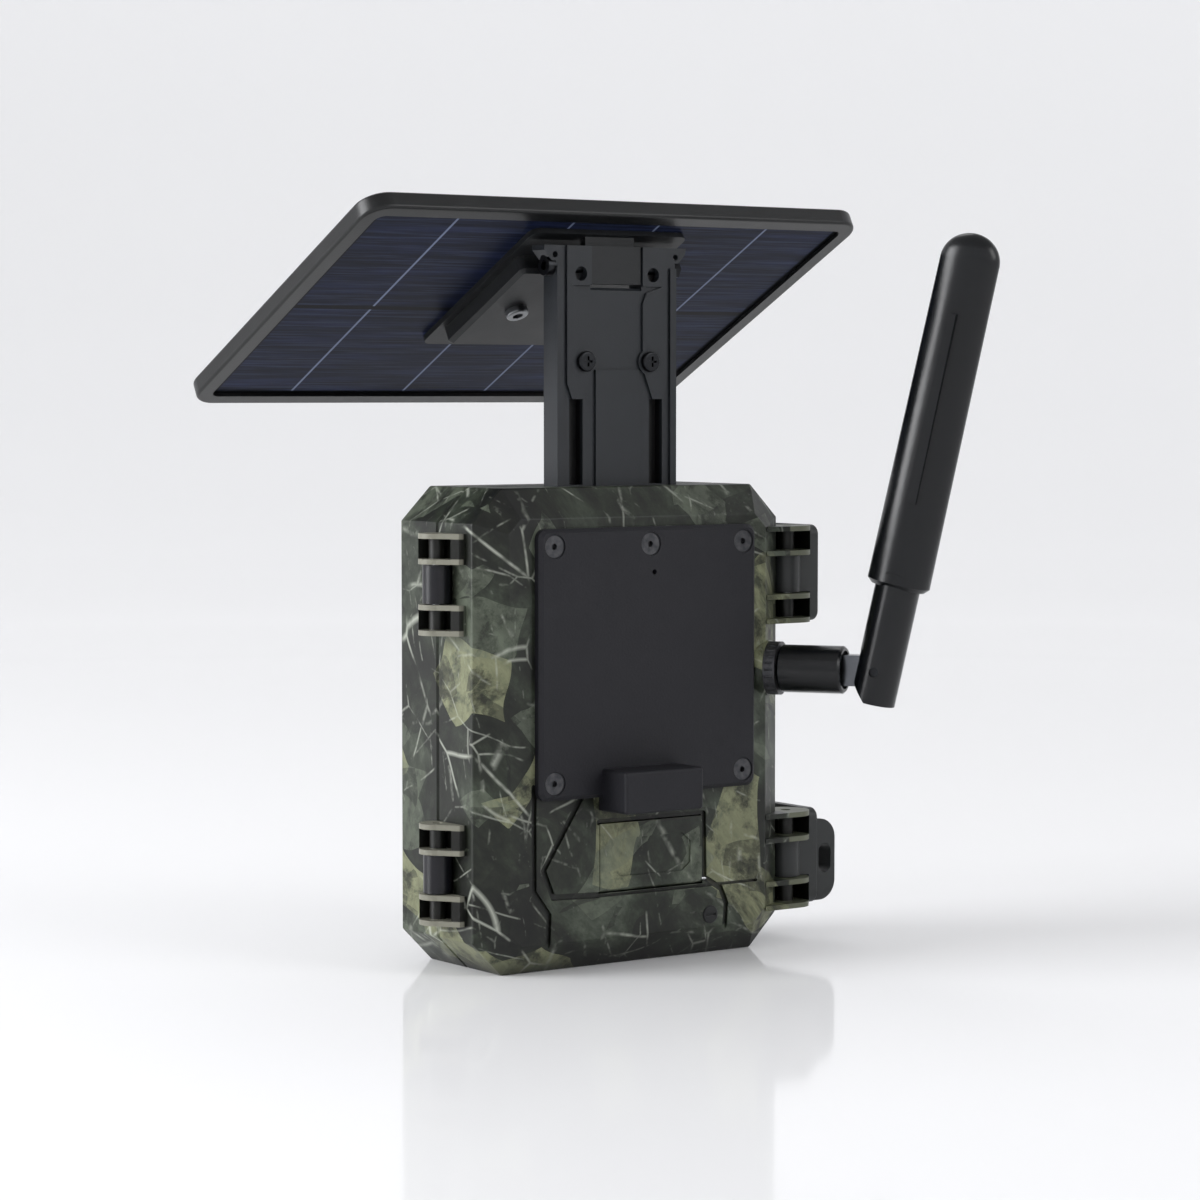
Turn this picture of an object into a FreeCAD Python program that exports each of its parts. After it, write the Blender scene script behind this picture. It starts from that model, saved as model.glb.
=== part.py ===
import FreeCAD, Part
import math
import os

# Trail camera with a solar roof and a folding antenna. Millimetres, +Z up.
# The lens looks along -Y, the hinge side is +X, the latch and antenna side is -X.
# Everything is drawn about the seam between the two half shells (y = 0), with the
# foot of the case at z = 0, and is then moved so that the origin is the middle of
# the rear shell's flat foot.

V = FreeCAD.Vector
UP = V(0, 0, 1)
ALONG_X = V(1, 0, 0)
ALONG_Y = V(0, 1, 0)

# ---- case ----
case_width = 110.0
case_height = 140.0
rear_flat = 18.0          # depth of the straight side walls behind the seam
front_flat = 19.5         # depth of the straight side walls in front of the seam
slope_depth = 6.0         # depth of the sloped border of either shell
slope_inset = 8.7         # how far the sloped border comes in
corner_cut = 10.0         # corner cut of the outline
face_corner_cut = 4.2     # corner cut of the flat front and rear faces
wall = 2.8
seam_gap = 0.3
seam_bevel = 0.6
edge_round = 0.9
slip = 0.3                # clearance between pieces that move past each other
run = 0.05                # radial clearance of a pin that turns in a bore
fit = 0.02                # radial clearance of a pin pressed or screwed home

# ---- rear plate and tripod block ----
plate_size = 78.0
plate_thick = 3.0
plate_x = -1.5
plate_foot = 50.4
plate_corner = 3.0
plate_bevel = 1.1
screw_inset = 5.0
plate_screw_r = 1.5
plate_head_r = 3.15
plate_head_deep = 1.9
block_width = 28.0
block_height = 12.3
block_proud = 11.9
block_x = 2.0
block_foot = 46.4
thread_r = 3.175          # 1/4 in camera thread, drawn as a smooth bore
thread_slack = 0.125
socket_deep = 9.0
insert_wall = 1.2

# ---- hinges and latches ----
hinge_axis_out = 3.2      # from the side wall to the hinge axis
hinge_axis_back = 4.8     # from the seam to the hinge axis
hinge_lug_r = 5.4
knuckle_r = 4.2
pin_r = 1.5
lug_height = 8.8
lug_gap = 11.6
lug_plate = 1.5
upper_drop = 27.4         # from the top of the case to the upper hinge and latch
lower_hinge_centre = 29.3
lower_latch_centre = 26.0
latch_axis_out = 4.9
latch_axis_back = 16.8
latch_lug_r = 7.2
lever_barrel_r = 4.2
lever_thick = 3.6
lever_toe = -9.0          # front end of the lever, in front of the seam
lever_heel = 18.6         # rear end of the lever
eye_reach = 7.4
eye_wide = 4.8
eye_tall = 9.0
tab_thick = 6.0
keeper_thick = 7.0

# ---- lower rear: port flap ----
flap_x = -4.0
flap_width = 37.0
flap_height = 20.0
flap_foot = 22.2
flap_thick = 2.2
flap_pin_r = 0.6
groove_wide = 1.8
groove_deep = 0.9
well_wall = 1.6
well_deep = 11.0           # floor of the port well, behind the rear face
plug_r = 2.7
plug_x = -25.6
plug_z = 12.4

# ---- mast ----
stand_x = -1.0
mast_width = 43.0
mast_rear = 11.0
mast_thick = 7.0
mast_rise = 70.0          # above the top of the case
mast_sunk = 14.0          # into the case
mast_relief = 0.8
ear_flare = 4.0
ear_rise = 6.0
notch_width = 18.4
notch_deep = 12.1
tilt_axis_drop = 6.0      # below the mast's top
tilt_bolt_r = 2.0
tongue_relief = 0.6       # the leaf stands this far inside the mast's faces
tongue_step = 3.4         # the leaf steps forward by this much above the mast's top
mast_screw_rise = 36.4    # above the top of the case
mast_screw_x = 11.6
slot_width = 4.8
slot_deep = 4.2

# ---- solar panel ----
panel_length = 177.0
panel_width = 119.0
panel_thick = 5.2
panel_rim = 5.0
panel_corner = 8.0
panel_tilt = 27.5
axis_along = 43.917       # up the slope from the panel's middle to the tilt axis
axis_under = 8.544        # from the panel's underside down to the tilt axis
laminate_foot = 1.1
laminate_grip = 2.0
backsheet_thick = 0.8
cell_thick = 0.6
glass_thick = 1.6
cell_columns = 2
cell_rows = 2
cell_gap_x = 0.3
cell_gap_y = 1.8
pad_width = 56.0
pad_low = -19.0
pad_high = 49.0
pad_flange = 1.6
pad_block_width = 51.0
pad_block_thick = 5.5
pad_block_low = -10.0
pad_block_clear = 8.0     # from the tilt axis forward to the pad's block
pad_screw_r = 1.7
pad_screw_x = 14.0
pad_screw_b = 12.7

# ---- antenna ----
antenna_inset = 6.5       # from the side wall to the antenna's root
antenna_z = 84.8
boss_r = 8.4
collar_r = 8.0
base_r = 7.15
base_end = 24.0
elbow_reach = 34.5
boss_proud = 0.6
collar_end = 4.2
connector_r = 3.0
tongue_half_height = 4.6
tongue_half_thick = 2.7
arm_r = 6.75
arm_tail = 9.6
arm_top = 30.0
arm_lean = 12.5
spigot_r = 4.2
spigot_top = 45.0
sheath_foot = 25.5
sheath_tip = 132.0
sheath_half_width = 9.5
sheath_tip_width = 9.0
sheath_half_thick = 7.6
sheath_tip_thick = 5.0
sheath_crown = 8.4        # height of the rounded tip
sheath_lip = 1.4
grip_lines = 4
grip_pitch = 5.2
elbow_pin_r = 1.4
element_r = 1.6

# ---- batteries ----
cell_r = 7.1
cell_length = 50.3
cell_pitch = 14.7
cell_count = 4
tray_foot = 57.5
tray_wall = 1.5
tray_front = 1.3
spring_length = 3.0
contact_thick = 0.6

# ---- front ----
bezel_width = 78.0
bezel_height = 112.0
bezel_cut = 8.0
bezel_proud = 6.5
bezel_slope = 3.0
lens_rise = 52.0          # heights of the lens, lamps and sensor above the bezel's foot
lens_window_r = 12.4
hood_r = 16.0
hood_proud = 4.0
ir_width = 58.0
ir_height = 28.0
ir_rise = 88.0
pir_rise = 19.0
pir_width = 30.0
pir_height = 20.0
board_thick = 1.6
board_front = -10.4
panel_skin = 2.0
inner_face = -2.5         # rear face of the inner panel
key_r = 3.4
key_z = 56.0
key_pitch = 18.0
key_travel = 0.8
switch_x = 12.0
switch_z = 36.0
switch_travel = 3.0

half = case_width / 2
upper_centre = case_height - upper_drop
mast_top = case_height + mast_rise
mast_foot = case_height - mast_sunk
notch_foot = mast_top - notch_deep
tilt_axis_z = mast_top - tilt_axis_drop
mast_screw_z = case_height + mast_screw_rise
antenna_x = -half + antenna_inset
slope = math.radians(panel_tilt)
panel_centre_y = mast_rear - mast_thick / 2 - axis_along * math.cos(slope) - axis_under * math.sin(slope)
panel_centre_z = tilt_axis_z - axis_along * math.sin(slope) + axis_under * math.cos(slope)
socket_bore_r = thread_r + thread_slack
insert_r = socket_bore_r + insert_wall
rear_face = rear_flat + slope_depth
front_face = -(front_flat + slope_depth)
mid_z = case_height / 2
bezel_foot = mid_z - bezel_height / 2
lens_z = bezel_foot + lens_rise
ir_z = bezel_foot + ir_rise
pir_z = bezel_foot + pir_rise
shift = -rear_face / 2     # puts the origin at the middle of the rear shell's foot


# ---- small helpers ----
def box(x0, x1, y0, y1, z0, z1):
    return Part.makeBox(x1 - x0, y1 - y0, z1 - z0, V(x0, y0, z0))


def rod(radius, start, end):
    line = end.sub(start)
    return Part.makeCylinder(radius, line.Length, start, line)


def rod_x(radius, x0, x1, y, z):
    return rod(radius, V(x0, y, z), V(x1, y, z))


def rod_y(radius, y0, y1, x, z):
    return rod(radius, V(x, y0, z), V(x, y1, z))


def rod_z(radius, z0, z1, x, y):
    return rod(radius, V(x, y, z0), V(x, y, z1))


def face_of(points):
    return Part.Face(Part.makePolygon(points + points[:1]))


def prism_z(outline, z0, z1):
    return face_of([V(x, y, z0) for x, y in outline]).extrude(V(0, 0, z1 - z0))


def prism_y(outline, y0, y1):
    return face_of([V(x, y0, z) for x, z in outline]).extrude(V(0, y1 - y0, 0))


def fused(shapes):
    whole = shapes[0].multiFuse(shapes[1:]) if len(shapes) > 1 else shapes[0]
    return whole.removeSplitter()


def rounded_plate(x0, x1, y0, y1, z0, z1, radius):
    """A plate in the XZ plane with rounded corners."""
    plate = box(x0, x1, y0, y1, z0, z1)
    corners = [e for e in plate.Edges if abs(e.tangentAt(e.FirstParameter).y) > 0.99]
    return plate.makeFillet(radius, corners)


def edges_in_plane_y(shape, y):
    return [e for e in shape.Edges if all(abs(v.Point.y - y) < 1e-4 for v in e.Vertexes)]


def octagon_points(width, height, cut, z_mid):
    w = width / 2
    h = height / 2
    return [(-w, z_mid - h + cut), (-w + cut, z_mid - h), (w - cut, z_mid - h), (w, z_mid - h + cut),
            (w, z_mid + h - cut), (w - cut, z_mid + h), (-w + cut, z_mid + h), (-w, z_mid + h - cut)]


def octagon_wire(width, height, cut, z_mid, y):
    points = [V(x, y, z) for x, z in octagon_points(width, height, cut, z_mid)]
    return Part.makePolygon(points + points[:1])


def tapered(width, height, cut, inset, end_cut, z_mid, y_start, y_flat, y_end):
    """A straight octagonal prism from y_start to y_flat, then a sloped border to y_end."""
    straight = prism_y(octagon_points(width, height, cut, z_mid), y_start, y_flat)
    border = Part.makeLoft([octagon_wire(width, height, cut, z_mid, y_flat),
                            octagon_wire(width - 2 * inset, height - 2 * inset, end_cut, z_mid,
                                         y_end)], True, True)
    return fused([straight, border])


def case_outer(side, flat):
    """Outer form of one half shell; side is +1 for the rear, -1 for the front."""
    start = side * seam_gap / 2
    form = tapered(case_width, case_height, corner_cut, slope_inset, face_corner_cut, mid_z,
                   start, side * flat, side * (flat + slope_depth))
    seam = edges_in_plane_y(form, start)
    other = [e for e in form.Edges if not any(e.isSame(s) for s in seam)]
    form = form.makeFillet(edge_round, other)
    return form.makeChamfer(seam_bevel, edges_in_plane_y(form, start))


def case_inner(side, flat):
    """The hollow of one half shell, a wall inside its outer form."""
    length = math.hypot(slope_depth, slope_inset)
    lean_x = slope_depth / length
    lean_y = slope_inset / length
    flat_in = flat - wall * (1 - lean_x) / lean_y
    inset_in = slope_inset - wall + wall * (1 - lean_y) / lean_x
    return tapered(case_width - 2 * wall, case_height - 2 * wall, corner_cut - wall * 0.6, inset_in,
                   face_corner_cut, mid_z, 0.0, side * flat_in, side * (flat + slope_depth - wall))


# ---- hinge and latch lugs ----
hinge_x = half + hinge_axis_out
hinge_y = hinge_axis_back
latch_x = -half - latch_axis_out
latch_y = latch_axis_back
stack_half = lug_height + lug_gap / 2


def lug_spans(centre):
    return [(centre - stack_half, centre - lug_gap / 2), (centre + lug_gap / 2, centre + stack_half)]


def hinge_lug(z0, z1):
    tail = hinge_y + 9.9
    barrel = rod_z(hinge_lug_r, z0, z1, hinge_x, hinge_y)
    web = prism_z([(half - 1.5, hinge_y - 3.2), (hinge_x - 1.0, hinge_y - 3.2),
                   (hinge_x + hinge_lug_r * 0.94,
                   hinge_y + hinge_lug_r * 0.34), (half + 2.2, tail), (half - 1.5, tail)], z0, z1)
    lug = fused([barrel, web]).cut(box(half - 30, half - 1.5, -20, 40, z0 - 1, z1 + 1))
    pocket = box(half + 0.9, half + 12, hinge_y - 3.6, hinge_y + 7.9, z0 + lug_plate, z1 - lug_plate)
    post = rod_z(pin_r + 0.9, z0, z1, hinge_x, hinge_y)
    return fused([lug.cut(pocket), post]).cut(rod_z(pin_r + fit, z0 - 1, z1 + 1, hinge_x, hinge_y))


def latch_lug(z0, z1):
    front = latch_y - latch_lug_r
    rear = latch_y + latch_lug_r
    barrel = rod_z(latch_lug_r, z0, z1, latch_x, latch_y)
    web = prism_z([(latch_x, front), (-half + 3, front), (-half + 3, rear_flat - 1),
                   (-half + slope_inset - 0.4, rear), (latch_x, rear)], z0, z1)
    lug = fused([barrel, web])
    pocket = box(latch_x - latch_lug_r + 1.4, -half + slope_inset, latch_y - 3.6, rear + 5,
                 z0 + lug_plate, z1 - lug_plate)
    post = rod_z(pin_r + 0.9, z0, z1, latch_x, latch_y)
    return fused([lug.cut(pocket), post]).cut(rod_z(pin_r + fit, z0 - 1, z1 + 1, latch_x, latch_y))


# ---- antenna frame: a runs out of the sloped border, across runs level, both square to +Z ----
slope_length = math.hypot(slope_depth, slope_inset)
out_dir = V(-slope_depth / slope_length, slope_inset / slope_length, 0)
across_dir = V(slope_inset / slope_length, slope_depth / slope_length, 0)
border_y = rear_flat + (half + antenna_x) * slope_depth / slope_inset
antenna_root = V(antenna_x, border_y, antenna_z)


def antenna_point(out, across, up):
    return antenna_root + out_dir * out + across_dir * across + UP * up


def antenna_rod(radius, out0, out1):
    return rod(radius, antenna_point(out0, 0, 0), antenna_point(out1, 0, 0))


def antenna_block(out0, out1, across0, across1, up0, up1):
    corner = antenna_point(out0, across0, up0)
    block = Part.makeBox(out1 - out0, across1 - across0, up1 - up0)
    turn = FreeCAD.Rotation(out_dir, across_dir * -1, UP, "ZXY")
    block.translate(V(0, -(across1 - across0), 0))
    block.Placement = FreeCAD.Placement(corner, turn).multiply(block.Placement)
    return block


# ---- rear case ----
def screw_places():
    reach = plate_size / 2 - screw_inset
    low = plate_foot + screw_inset
    high = plate_foot + plate_size - screw_inset
    return [(plate_x - reach, low), (plate_x + reach, low),
            (plate_x - reach, high), (plate_x, high), (plate_x + reach, high)]


def groove(points, width, depth):
    """A groove along a chain of (x, z) points in the rear face, with round turns."""
    cutters = []
    for (xa, za), (xb, zb) in zip(points, points[1:]):
        length = math.hypot(xb - xa, zb - za)
        side_x = -(zb - za) / length * width / 2
        side_z = (xb - xa) / length * width / 2
        cutters.append(prism_y([(xa + side_x, za + side_z), (xb + side_x, zb + side_z),
                                (xb - side_x, zb - side_z), (xa - side_x, za - side_z)],
                               rear_face - depth, rear_face + 1))
    for x, z in points:
        cutters.append(rod_y(width / 2, rear_face - depth, rear_face + 1, x, z))
    return fused(cutters)


def flap_recess(extra):
    return box(flap_x - flap_width / 2 - extra, flap_x + flap_width / 2 + extra,
               rear_face - flap_thick - extra, rear_face + 1, flap_foot - extra,
               flap_foot + flap_height + extra)


def make_rear_shell():
    shell = case_outer(1, rear_flat).cut(case_inner(1, rear_flat))
    adds = []
    for centre in (upper_centre, lower_hinge_centre):
        adds += [hinge_lug(z0, z1) for z0, z1 in lug_spans(centre)]
    for centre in (upper_centre, lower_latch_centre):
        adds += [latch_lug(z0, z1) for z0, z1 in lug_spans(centre)]
    adds.append(antenna_rod(boss_r, -wall - 3.5, boss_proud))
    inner_back = rear_face - wall
    for x, z in screw_places():
        adds.append(rod_y(3.0, inner_back - 3.0, inner_back + 0.5, x, z))
    for x in (-20.0, 20.0):
        for z in (70.0, 105.0):
            adds.append(rod_y(3.0, tray_back(), inner_back + 0.5, x, z))
    socket_half = mast_width / 2 + 2.4
    adds.append(box(stand_x - socket_half, stand_x + socket_half, mast_rear - mast_thick - 2.0,
                    mast_rear + 2.0,
                    mast_foot - 2.4, case_height - wall + 0.5))
    well_half = flap_width / 2 - 3.0
    adds.append(box(flap_x - well_half - well_wall, flap_x + well_half + well_wall,
                    rear_face - well_deep - well_wall,
                    inner_back + 0.5, flap_foot + 2.6, flap_foot + flap_height - 1.4))
    adds.append(box(flap_x - flap_width / 2 - 3.2, flap_x + flap_width / 2 + 3.2,
                    rear_face - flap_thick - 2.4,
                    inner_back + 0.5, flap_foot - 2.6, flap_foot + flap_height + 2.6))
    shell = fused([shell] + adds)

    cuts = [flap_recess(slip)]
    cuts.append(box(flap_x - well_half, flap_x + well_half, rear_face - well_deep, rear_face,
                    flap_foot + 4.2, flap_foot + flap_height - 3.0))
    cuts.append(rod_x(flap_pin_r + fit, flap_x - flap_width / 2 - 2.2, flap_x + flap_width / 2 + 2.2,
                      flap_axis_y(), flap_axis_z()))
    cuts.append(rod_y(plug_r + fit, rear_face - 2.2, rear_face + 1, plug_x, plug_z))
    for x, z in screw_places():
        cuts.append(rod_y(plate_screw_r + fit, inner_back - 2.2, rear_face + 1, x, z))
    cuts.append(box(stand_x - mast_width / 2 - fit, stand_x + mast_width / 2 + fit,
                    mast_rear - mast_thick - fit, mast_rear + fit, mast_foot - fit, case_height + 1))
    cuts.append(antenna_rod(connector_r + fit, -wall - 4.5, boss_proud + 1))
    cuts.append(dc_hole())
    for centre in (upper_centre, lower_hinge_centre):
        cuts.append(rod_z(knuckle_r + slip + 0.1, centre - lug_gap / 2, centre + lug_gap / 2, hinge_x,
                          hinge_y))
    cuts.append(box(plate_x - plate_size / 2 - slip, 0, rear_face, rear_face + 20, plate_foot,
                    plate_foot + plate_size))
    cuts.append(gasket_ring(1.2, 0.0, 1.5))
    left = flap_x + flap_width / 2
    right = flap_x - flap_width / 2
    low = flap_foot
    cuts.append(groove([(left + 6.7, plate_foot), (left + 20.0, low + 8.0), (left + 16.7, low),
                        (left + 0.6, low - 0.6)], groove_wide, groove_deep))
    cuts.append(groove([(37.8, plate_foot + 4), (37.8, 24.2), (32.6, 17.1), (33.0, slope_inset - 1)],
                       groove_wide, groove_deep))
    cuts.append(groove([(left + 0.4, low + flap_height + 0.6), (right - 0.6, low + flap_height + 0.6),
                        (right - 1.0, low + 1.4), (-29.5, 20.0),
                        (-31.6, 15.4), (-31.0, slope_inset - 1)], groove_wide, groove_deep))
    cuts.append(groove([(left, low - 0.9), (-43.0, low - 0.9)], 0.9, groove_deep))
    for cutter in cuts:
        shell = shell.cut(cutter)
    return shell


def gasket_ring(width, y0, y1):
    mid = wall / 2
    outer = prism_y(octagon_points(case_width - 2 * mid + width, case_height - 2 * mid + width,
                                   corner_cut - mid * 0.6,
                                   mid_z), y0, y1)
    inner = prism_y(octagon_points(case_width - 2 * mid - width, case_height - 2 * mid - width,
                                   corner_cut - mid * 0.6 - width * 0.6, mid_z), y0, y1)
    return outer.cut(inner)


def make_case_gasket():
    return gasket_ring(1.0, seam_gap / 2 - 0.05, 1.5)


def make_mounting_plate():
    x0 = plate_x - plate_size / 2
    x1 = plate_x + plate_size / 2
    plate = rounded_plate(x0, x1, rear_face, rear_face + plate_thick, plate_foot, plate_foot + plate_size,
                          plate_corner)
    plate = plate.makeChamfer(plate_bevel, edges_in_plane_y(plate, rear_face + plate_thick))
    outer = rear_face + plate_thick
    for x, z in screw_places():
        plate = plate.cut(screw_form(x, z, fit))
        plate = plate.cut(rod_y(plate_head_r + 0.45, outer - 0.35, outer + 1, x, z))
    return plate.cut(rod_y(0.8, rear_face - 1, outer + 1, plate_x - 1.3, plate_foot + plate_size - 13.2))


def screw_form(x, z, extra):
    """Countersunk screw, its flat head just under the plate's face."""
    outer = rear_face + plate_thick - 0.35
    head = Part.makeCone(plate_screw_r + extra, plate_head_r + extra, plate_head_deep,
                         V(x, outer - plate_head_deep, z), ALONG_Y)
    shank = rod_y(plate_screw_r + extra, rear_face - wall - 2.2, outer - plate_head_deep + 0.01, x, z)
    return fused([head, shank])


def make_plate_screws():
    screws = []
    for x, z in screw_places():
        outer = rear_face + plate_thick - 0.35
        drive = rod_y(0.9, outer - 1.3, outer + 1, x, z)
        screws.append(screw_form(x, z, 0.0).cut(drive))
    return Part.makeCompound(screws)


def make_tripod_block():
    y0 = rear_face + plate_thick
    block = box(block_x - block_width / 2, block_x + block_width / 2, y0, y0 + block_proud,
                block_foot, block_foot + block_height)
    block = block.makeFillet(1.0, [e for e in block.Edges if max(v.Point.y for v in e.Vertexes) > y0 + 0.01])
    block = fused([block, box(block_x - block_width / 2 + 1, block_x + block_width / 2 - 1, rear_face + 0.1,
                              y0 + 0.5,
                              block_foot, plate_foot - 0.1)])
    return block.cut(rod_z(insert_r + fit, block_foot - 1, block_foot + socket_deep + 1, block_x,
                           socket_y()))


def socket_y():
    return rear_face + plate_thick + block_proud / 2


def make_tripod_insert():
    insert = rod_z(insert_r, block_foot, block_foot + socket_deep + 1, block_x, socket_y())
    return insert.cut(rod_z(socket_bore_r, block_foot - 1, block_foot + socket_deep, block_x, socket_y()))


def flap_axis_y():
    return rear_face - flap_thick / 2


def flap_axis_z():
    return flap_foot + flap_thick / 2


def make_port_flap():
    x0 = flap_x - flap_width / 2
    x1 = flap_x + flap_width / 2
    slab = box(x0, x1, rear_face - flap_thick, rear_face, flap_axis_z(), flap_foot + flap_height)
    flap = fused([slab, rod_x(flap_thick / 2, x0, x1, flap_axis_y(), flap_axis_z())])
    frame = box(x0 + 4.2, x1 - 4.2, rear_face - 0.5, rear_face + 1, flap_foot + 4.2,
                flap_foot + flap_height - 4.6)
    corners = [prism_y([(x, z), (x + dx, z), (x, z + dz)], rear_face - 0.6, rear_face)
               for x, dx in ((x0 + 4.2, 3.0), (x1 - 4.2, -3.0))
               for z, dz in ((flap_foot + 4.2, 2.4), (flap_foot + flap_height - 4.6, -2.4))]
    for corner in corners:
        frame = frame.cut(corner)
    return flap.cut(frame).cut(rod_x(flap_pin_r + run, x0 - 1, x1 + 1, flap_axis_y(), flap_axis_z()))


def make_flap_pin():
    reach = flap_width / 2 + 2.0
    return rod_x(flap_pin_r, flap_x - reach, flap_x + reach, flap_axis_y(), flap_axis_z())


def make_port_plug():
    plug = rod_y(plug_r, rear_face - 2.2, rear_face + 0.5, plug_x, plug_z)
    plug = plug.makeFillet(0.4, edges_in_plane_y(plug, rear_face + 0.5))
    return plug.cut(box(plug_x - 1.8, plug_x + 1.8, rear_face + 0.1, rear_face + 1, plug_z - 0.4,
                        plug_z + 0.4))


dc_r = 4.0
dc_z = flap_foot + flap_height / 2 + 0.6


def dc_hole():
    return rod_y(dc_r + fit, rear_face - 13.0, rear_face - well_deep + 0.1, flap_x, dc_z)


def make_dc_socket():
    inner = rear_face - well_deep - well_wall
    barrel = rod_y(dc_r, inner - 6, rear_face - well_deep, flap_x, dc_z)
    bore = rod_y(2.8, inner - 4, rear_face, flap_x, dc_z)
    centre = rod_y(1.0, inner - 5, rear_face - well_deep - 0.8, flap_x, dc_z)
    flange = box(flap_x - 5.5, flap_x + 5.5, inner - 6, inner, dc_z - 5.5, dc_z + 5.5)
    return fused([fused([barrel, flange]).cut(bore), centre])


# ---- batteries in the rear half ----
def tray_back():
    return tray_front + 2 * cell_r + 0.3 + tray_wall


def cell_places():
    first = -(cell_count - 1) / 2 * cell_pitch
    return [first + i * cell_pitch for i in range(cell_count)]


cell_y = tray_front + cell_r + 0.1
cell_foot = tray_foot + tray_wall + spring_length
bay_top = cell_foot + cell_length + contact_thick + 0.1


def make_battery_tray():
    reach = cell_count * cell_pitch / 2
    tray = box(-reach - tray_wall, reach + tray_wall, tray_front, tray_back(), tray_foot,
               bay_top + tray_wall)
    return tray.cut(box(-reach, reach, tray_front - 1, tray_back() - tray_wall, tray_foot + tray_wall,
                        bay_top))


def make_battery_cells():
    cells = []
    for x in cell_places():
        can = rod_z(cell_r, cell_foot + 0.1, cell_foot + cell_length - 1.2, x, cell_y)
        nub = rod_z(2.6, cell_foot + cell_length - 1.3, cell_foot + cell_length, x, cell_y)
        cells.append(fused([can, nub]))
    return Part.makeCompound(cells)


def make_battery_contacts():
    pieces = []
    for x in cell_places():
        pieces.append(Part.makeCone(5.0, 2.6, spring_length, V(x, cell_y, cell_foot - spring_length), UP))
        pieces.append(box(x - 5.5, x + 5.5, cell_y - 4, cell_y + 4, bay_top - contact_thick, bay_top))
    return Part.makeCompound(pieces)


def make_battery_cover():
    reach = cell_count * cell_pitch / 2 + tray_wall
    cover = rounded_plate(-reach, reach, tray_front - 1.8, tray_front - 0.1, tray_foot, bay_top + tray_wall,
                          2.0)
    for i in range(5):
        z = tray_foot + 6 + i * 2.2
        cover = cover.cut(box(-12, 12, tray_front - 1.9, tray_front - 1.4, z, z + 1.0))
    return fused([cover, box(-reach + 6, reach - 6, tray_front - 0.2, tray_front, tray_foot + 0.1,
                             tray_foot + 1.2),
                  box(-reach + 6, reach - 6, tray_front - 0.2, tray_front, bay_top + 0.2, bay_top + 1.4)])


# ---- pins ----
def make_hinge_pins():
    return Part.makeCompound([rod_z(pin_r, c - stack_half + 0.3, c + stack_half - 0.3, hinge_x, hinge_y)
                              for c in (upper_centre, lower_hinge_centre)])


def make_latch_pins():
    return Part.makeCompound([rod_z(pin_r, c - stack_half + 0.3, c + stack_half - 0.3, latch_x, latch_y)
                              for c in (upper_centre, lower_latch_centre)])


# ---- latch levers ----
lever_inner = latch_x - latch_lug_r - 0.5
lever_outer = lever_inner - lever_thick


def lever_form(centre):
    reach = lug_gap / 2 - slip
    barrel = rod_z(lever_barrel_r, centre - reach, centre + reach, latch_x, latch_y)
    arm = box(lever_inner - 0.5, latch_x, latch_y - 2.4, latch_y + 1.8, centre - reach, centre + reach)
    plate = box(lever_outer, lever_inner, lever_toe, lever_heel, centre - stack_half, centre + stack_half)
    ends = [e for e in plate.Edges if abs(e.tangentAt(e.FirstParameter).x) > 0.99]
    plate = plate.makeFillet(3.0, ends)
    plate = plate.makeFillet(0.8, [e for e in plate.Edges if all(v.Point.x < lever_outer + 0.01
                                                                 for v in e.Vertexes)])
    for i in range(4):
        y = lever_toe + 2.6 + i * 2.4
        plate = plate.cut(box(lever_outer - 1, lever_outer + 0.5, y, y + 1.1, centre - 9, centre + 9))
    return fused([barrel, arm, plate])


def make_upper_latch_lever():
    lever = lever_form(upper_centre)
    return lever.cut(rod_z(pin_r + run, upper_centre - 20, upper_centre + 20, latch_x, latch_y))


def eye_place():
    return lever_outer - eye_reach * 0.46, lower_latch_centre - 1.2


def make_lower_latch_lever():
    centre = lower_latch_centre
    tab = box(lever_outer - eye_reach, lever_outer + 1, lever_heel - 1.0 - tab_thick, lever_heel - 1.0,
              centre - 14.0,
              centre + 11.0)
    corners = [e for e in tab.Edges if abs(e.tangentAt(e.FirstParameter).y) > 0.99
               and e.Vertexes[0].Point.x < lever_outer - 1]
    tab = tab.makeFillet(6.0, corners)
    x, z = eye_place()
    y0 = lever_heel - 2 - tab_thick
    y1 = lever_heel + 1
    stretch = (eye_tall - eye_wide) / 2
    eye = fused([rod_y(eye_wide / 2, y0, y1, x, z - stretch), rod_y(eye_wide / 2, y0, y1, x, z + stretch),
                 box(x - eye_wide / 2, x + eye_wide / 2, y0, y1, z - stretch, z + stretch)])
    lever = fused([lever_form(centre), tab.cut(eye)])
    return lever.cut(rod_z(pin_r + run, centre - 20, centre + 20, latch_x, latch_y))


# ---- mast ----
def mirrored_x(outline):
    return [(2 * stand_x - x, z) for x, z in outline]


def mast_outline():
    w = mast_width / 2
    return [(stand_x - w, mast_foot), (stand_x + w, mast_foot), (stand_x + w, mast_top - ear_rise),
            (stand_x + w + ear_flare, mast_top - 1.5), (stand_x + w + ear_flare, mast_top),
            (stand_x - w - ear_flare, mast_top), (stand_x - w - ear_flare, mast_top - 1.5),
            (stand_x - w, mast_top - ear_rise)]


def mast_pad_outline():
    inner = stand_x + 9.2
    outer = stand_x + 18.0
    foot = mast_screw_z - 11.0
    return [(outer, foot + 4.6), (outer, notch_foot + 1.1), (inner + 1.4, notch_foot - 1.3),
            (inner, notch_foot - 4.5), (inner, mast_screw_z - 1.8), (inner + 3.6, foot), (outer - 1.8, foot)]


def mast_middle_y():
    return mast_rear - mast_thick / 2


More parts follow.
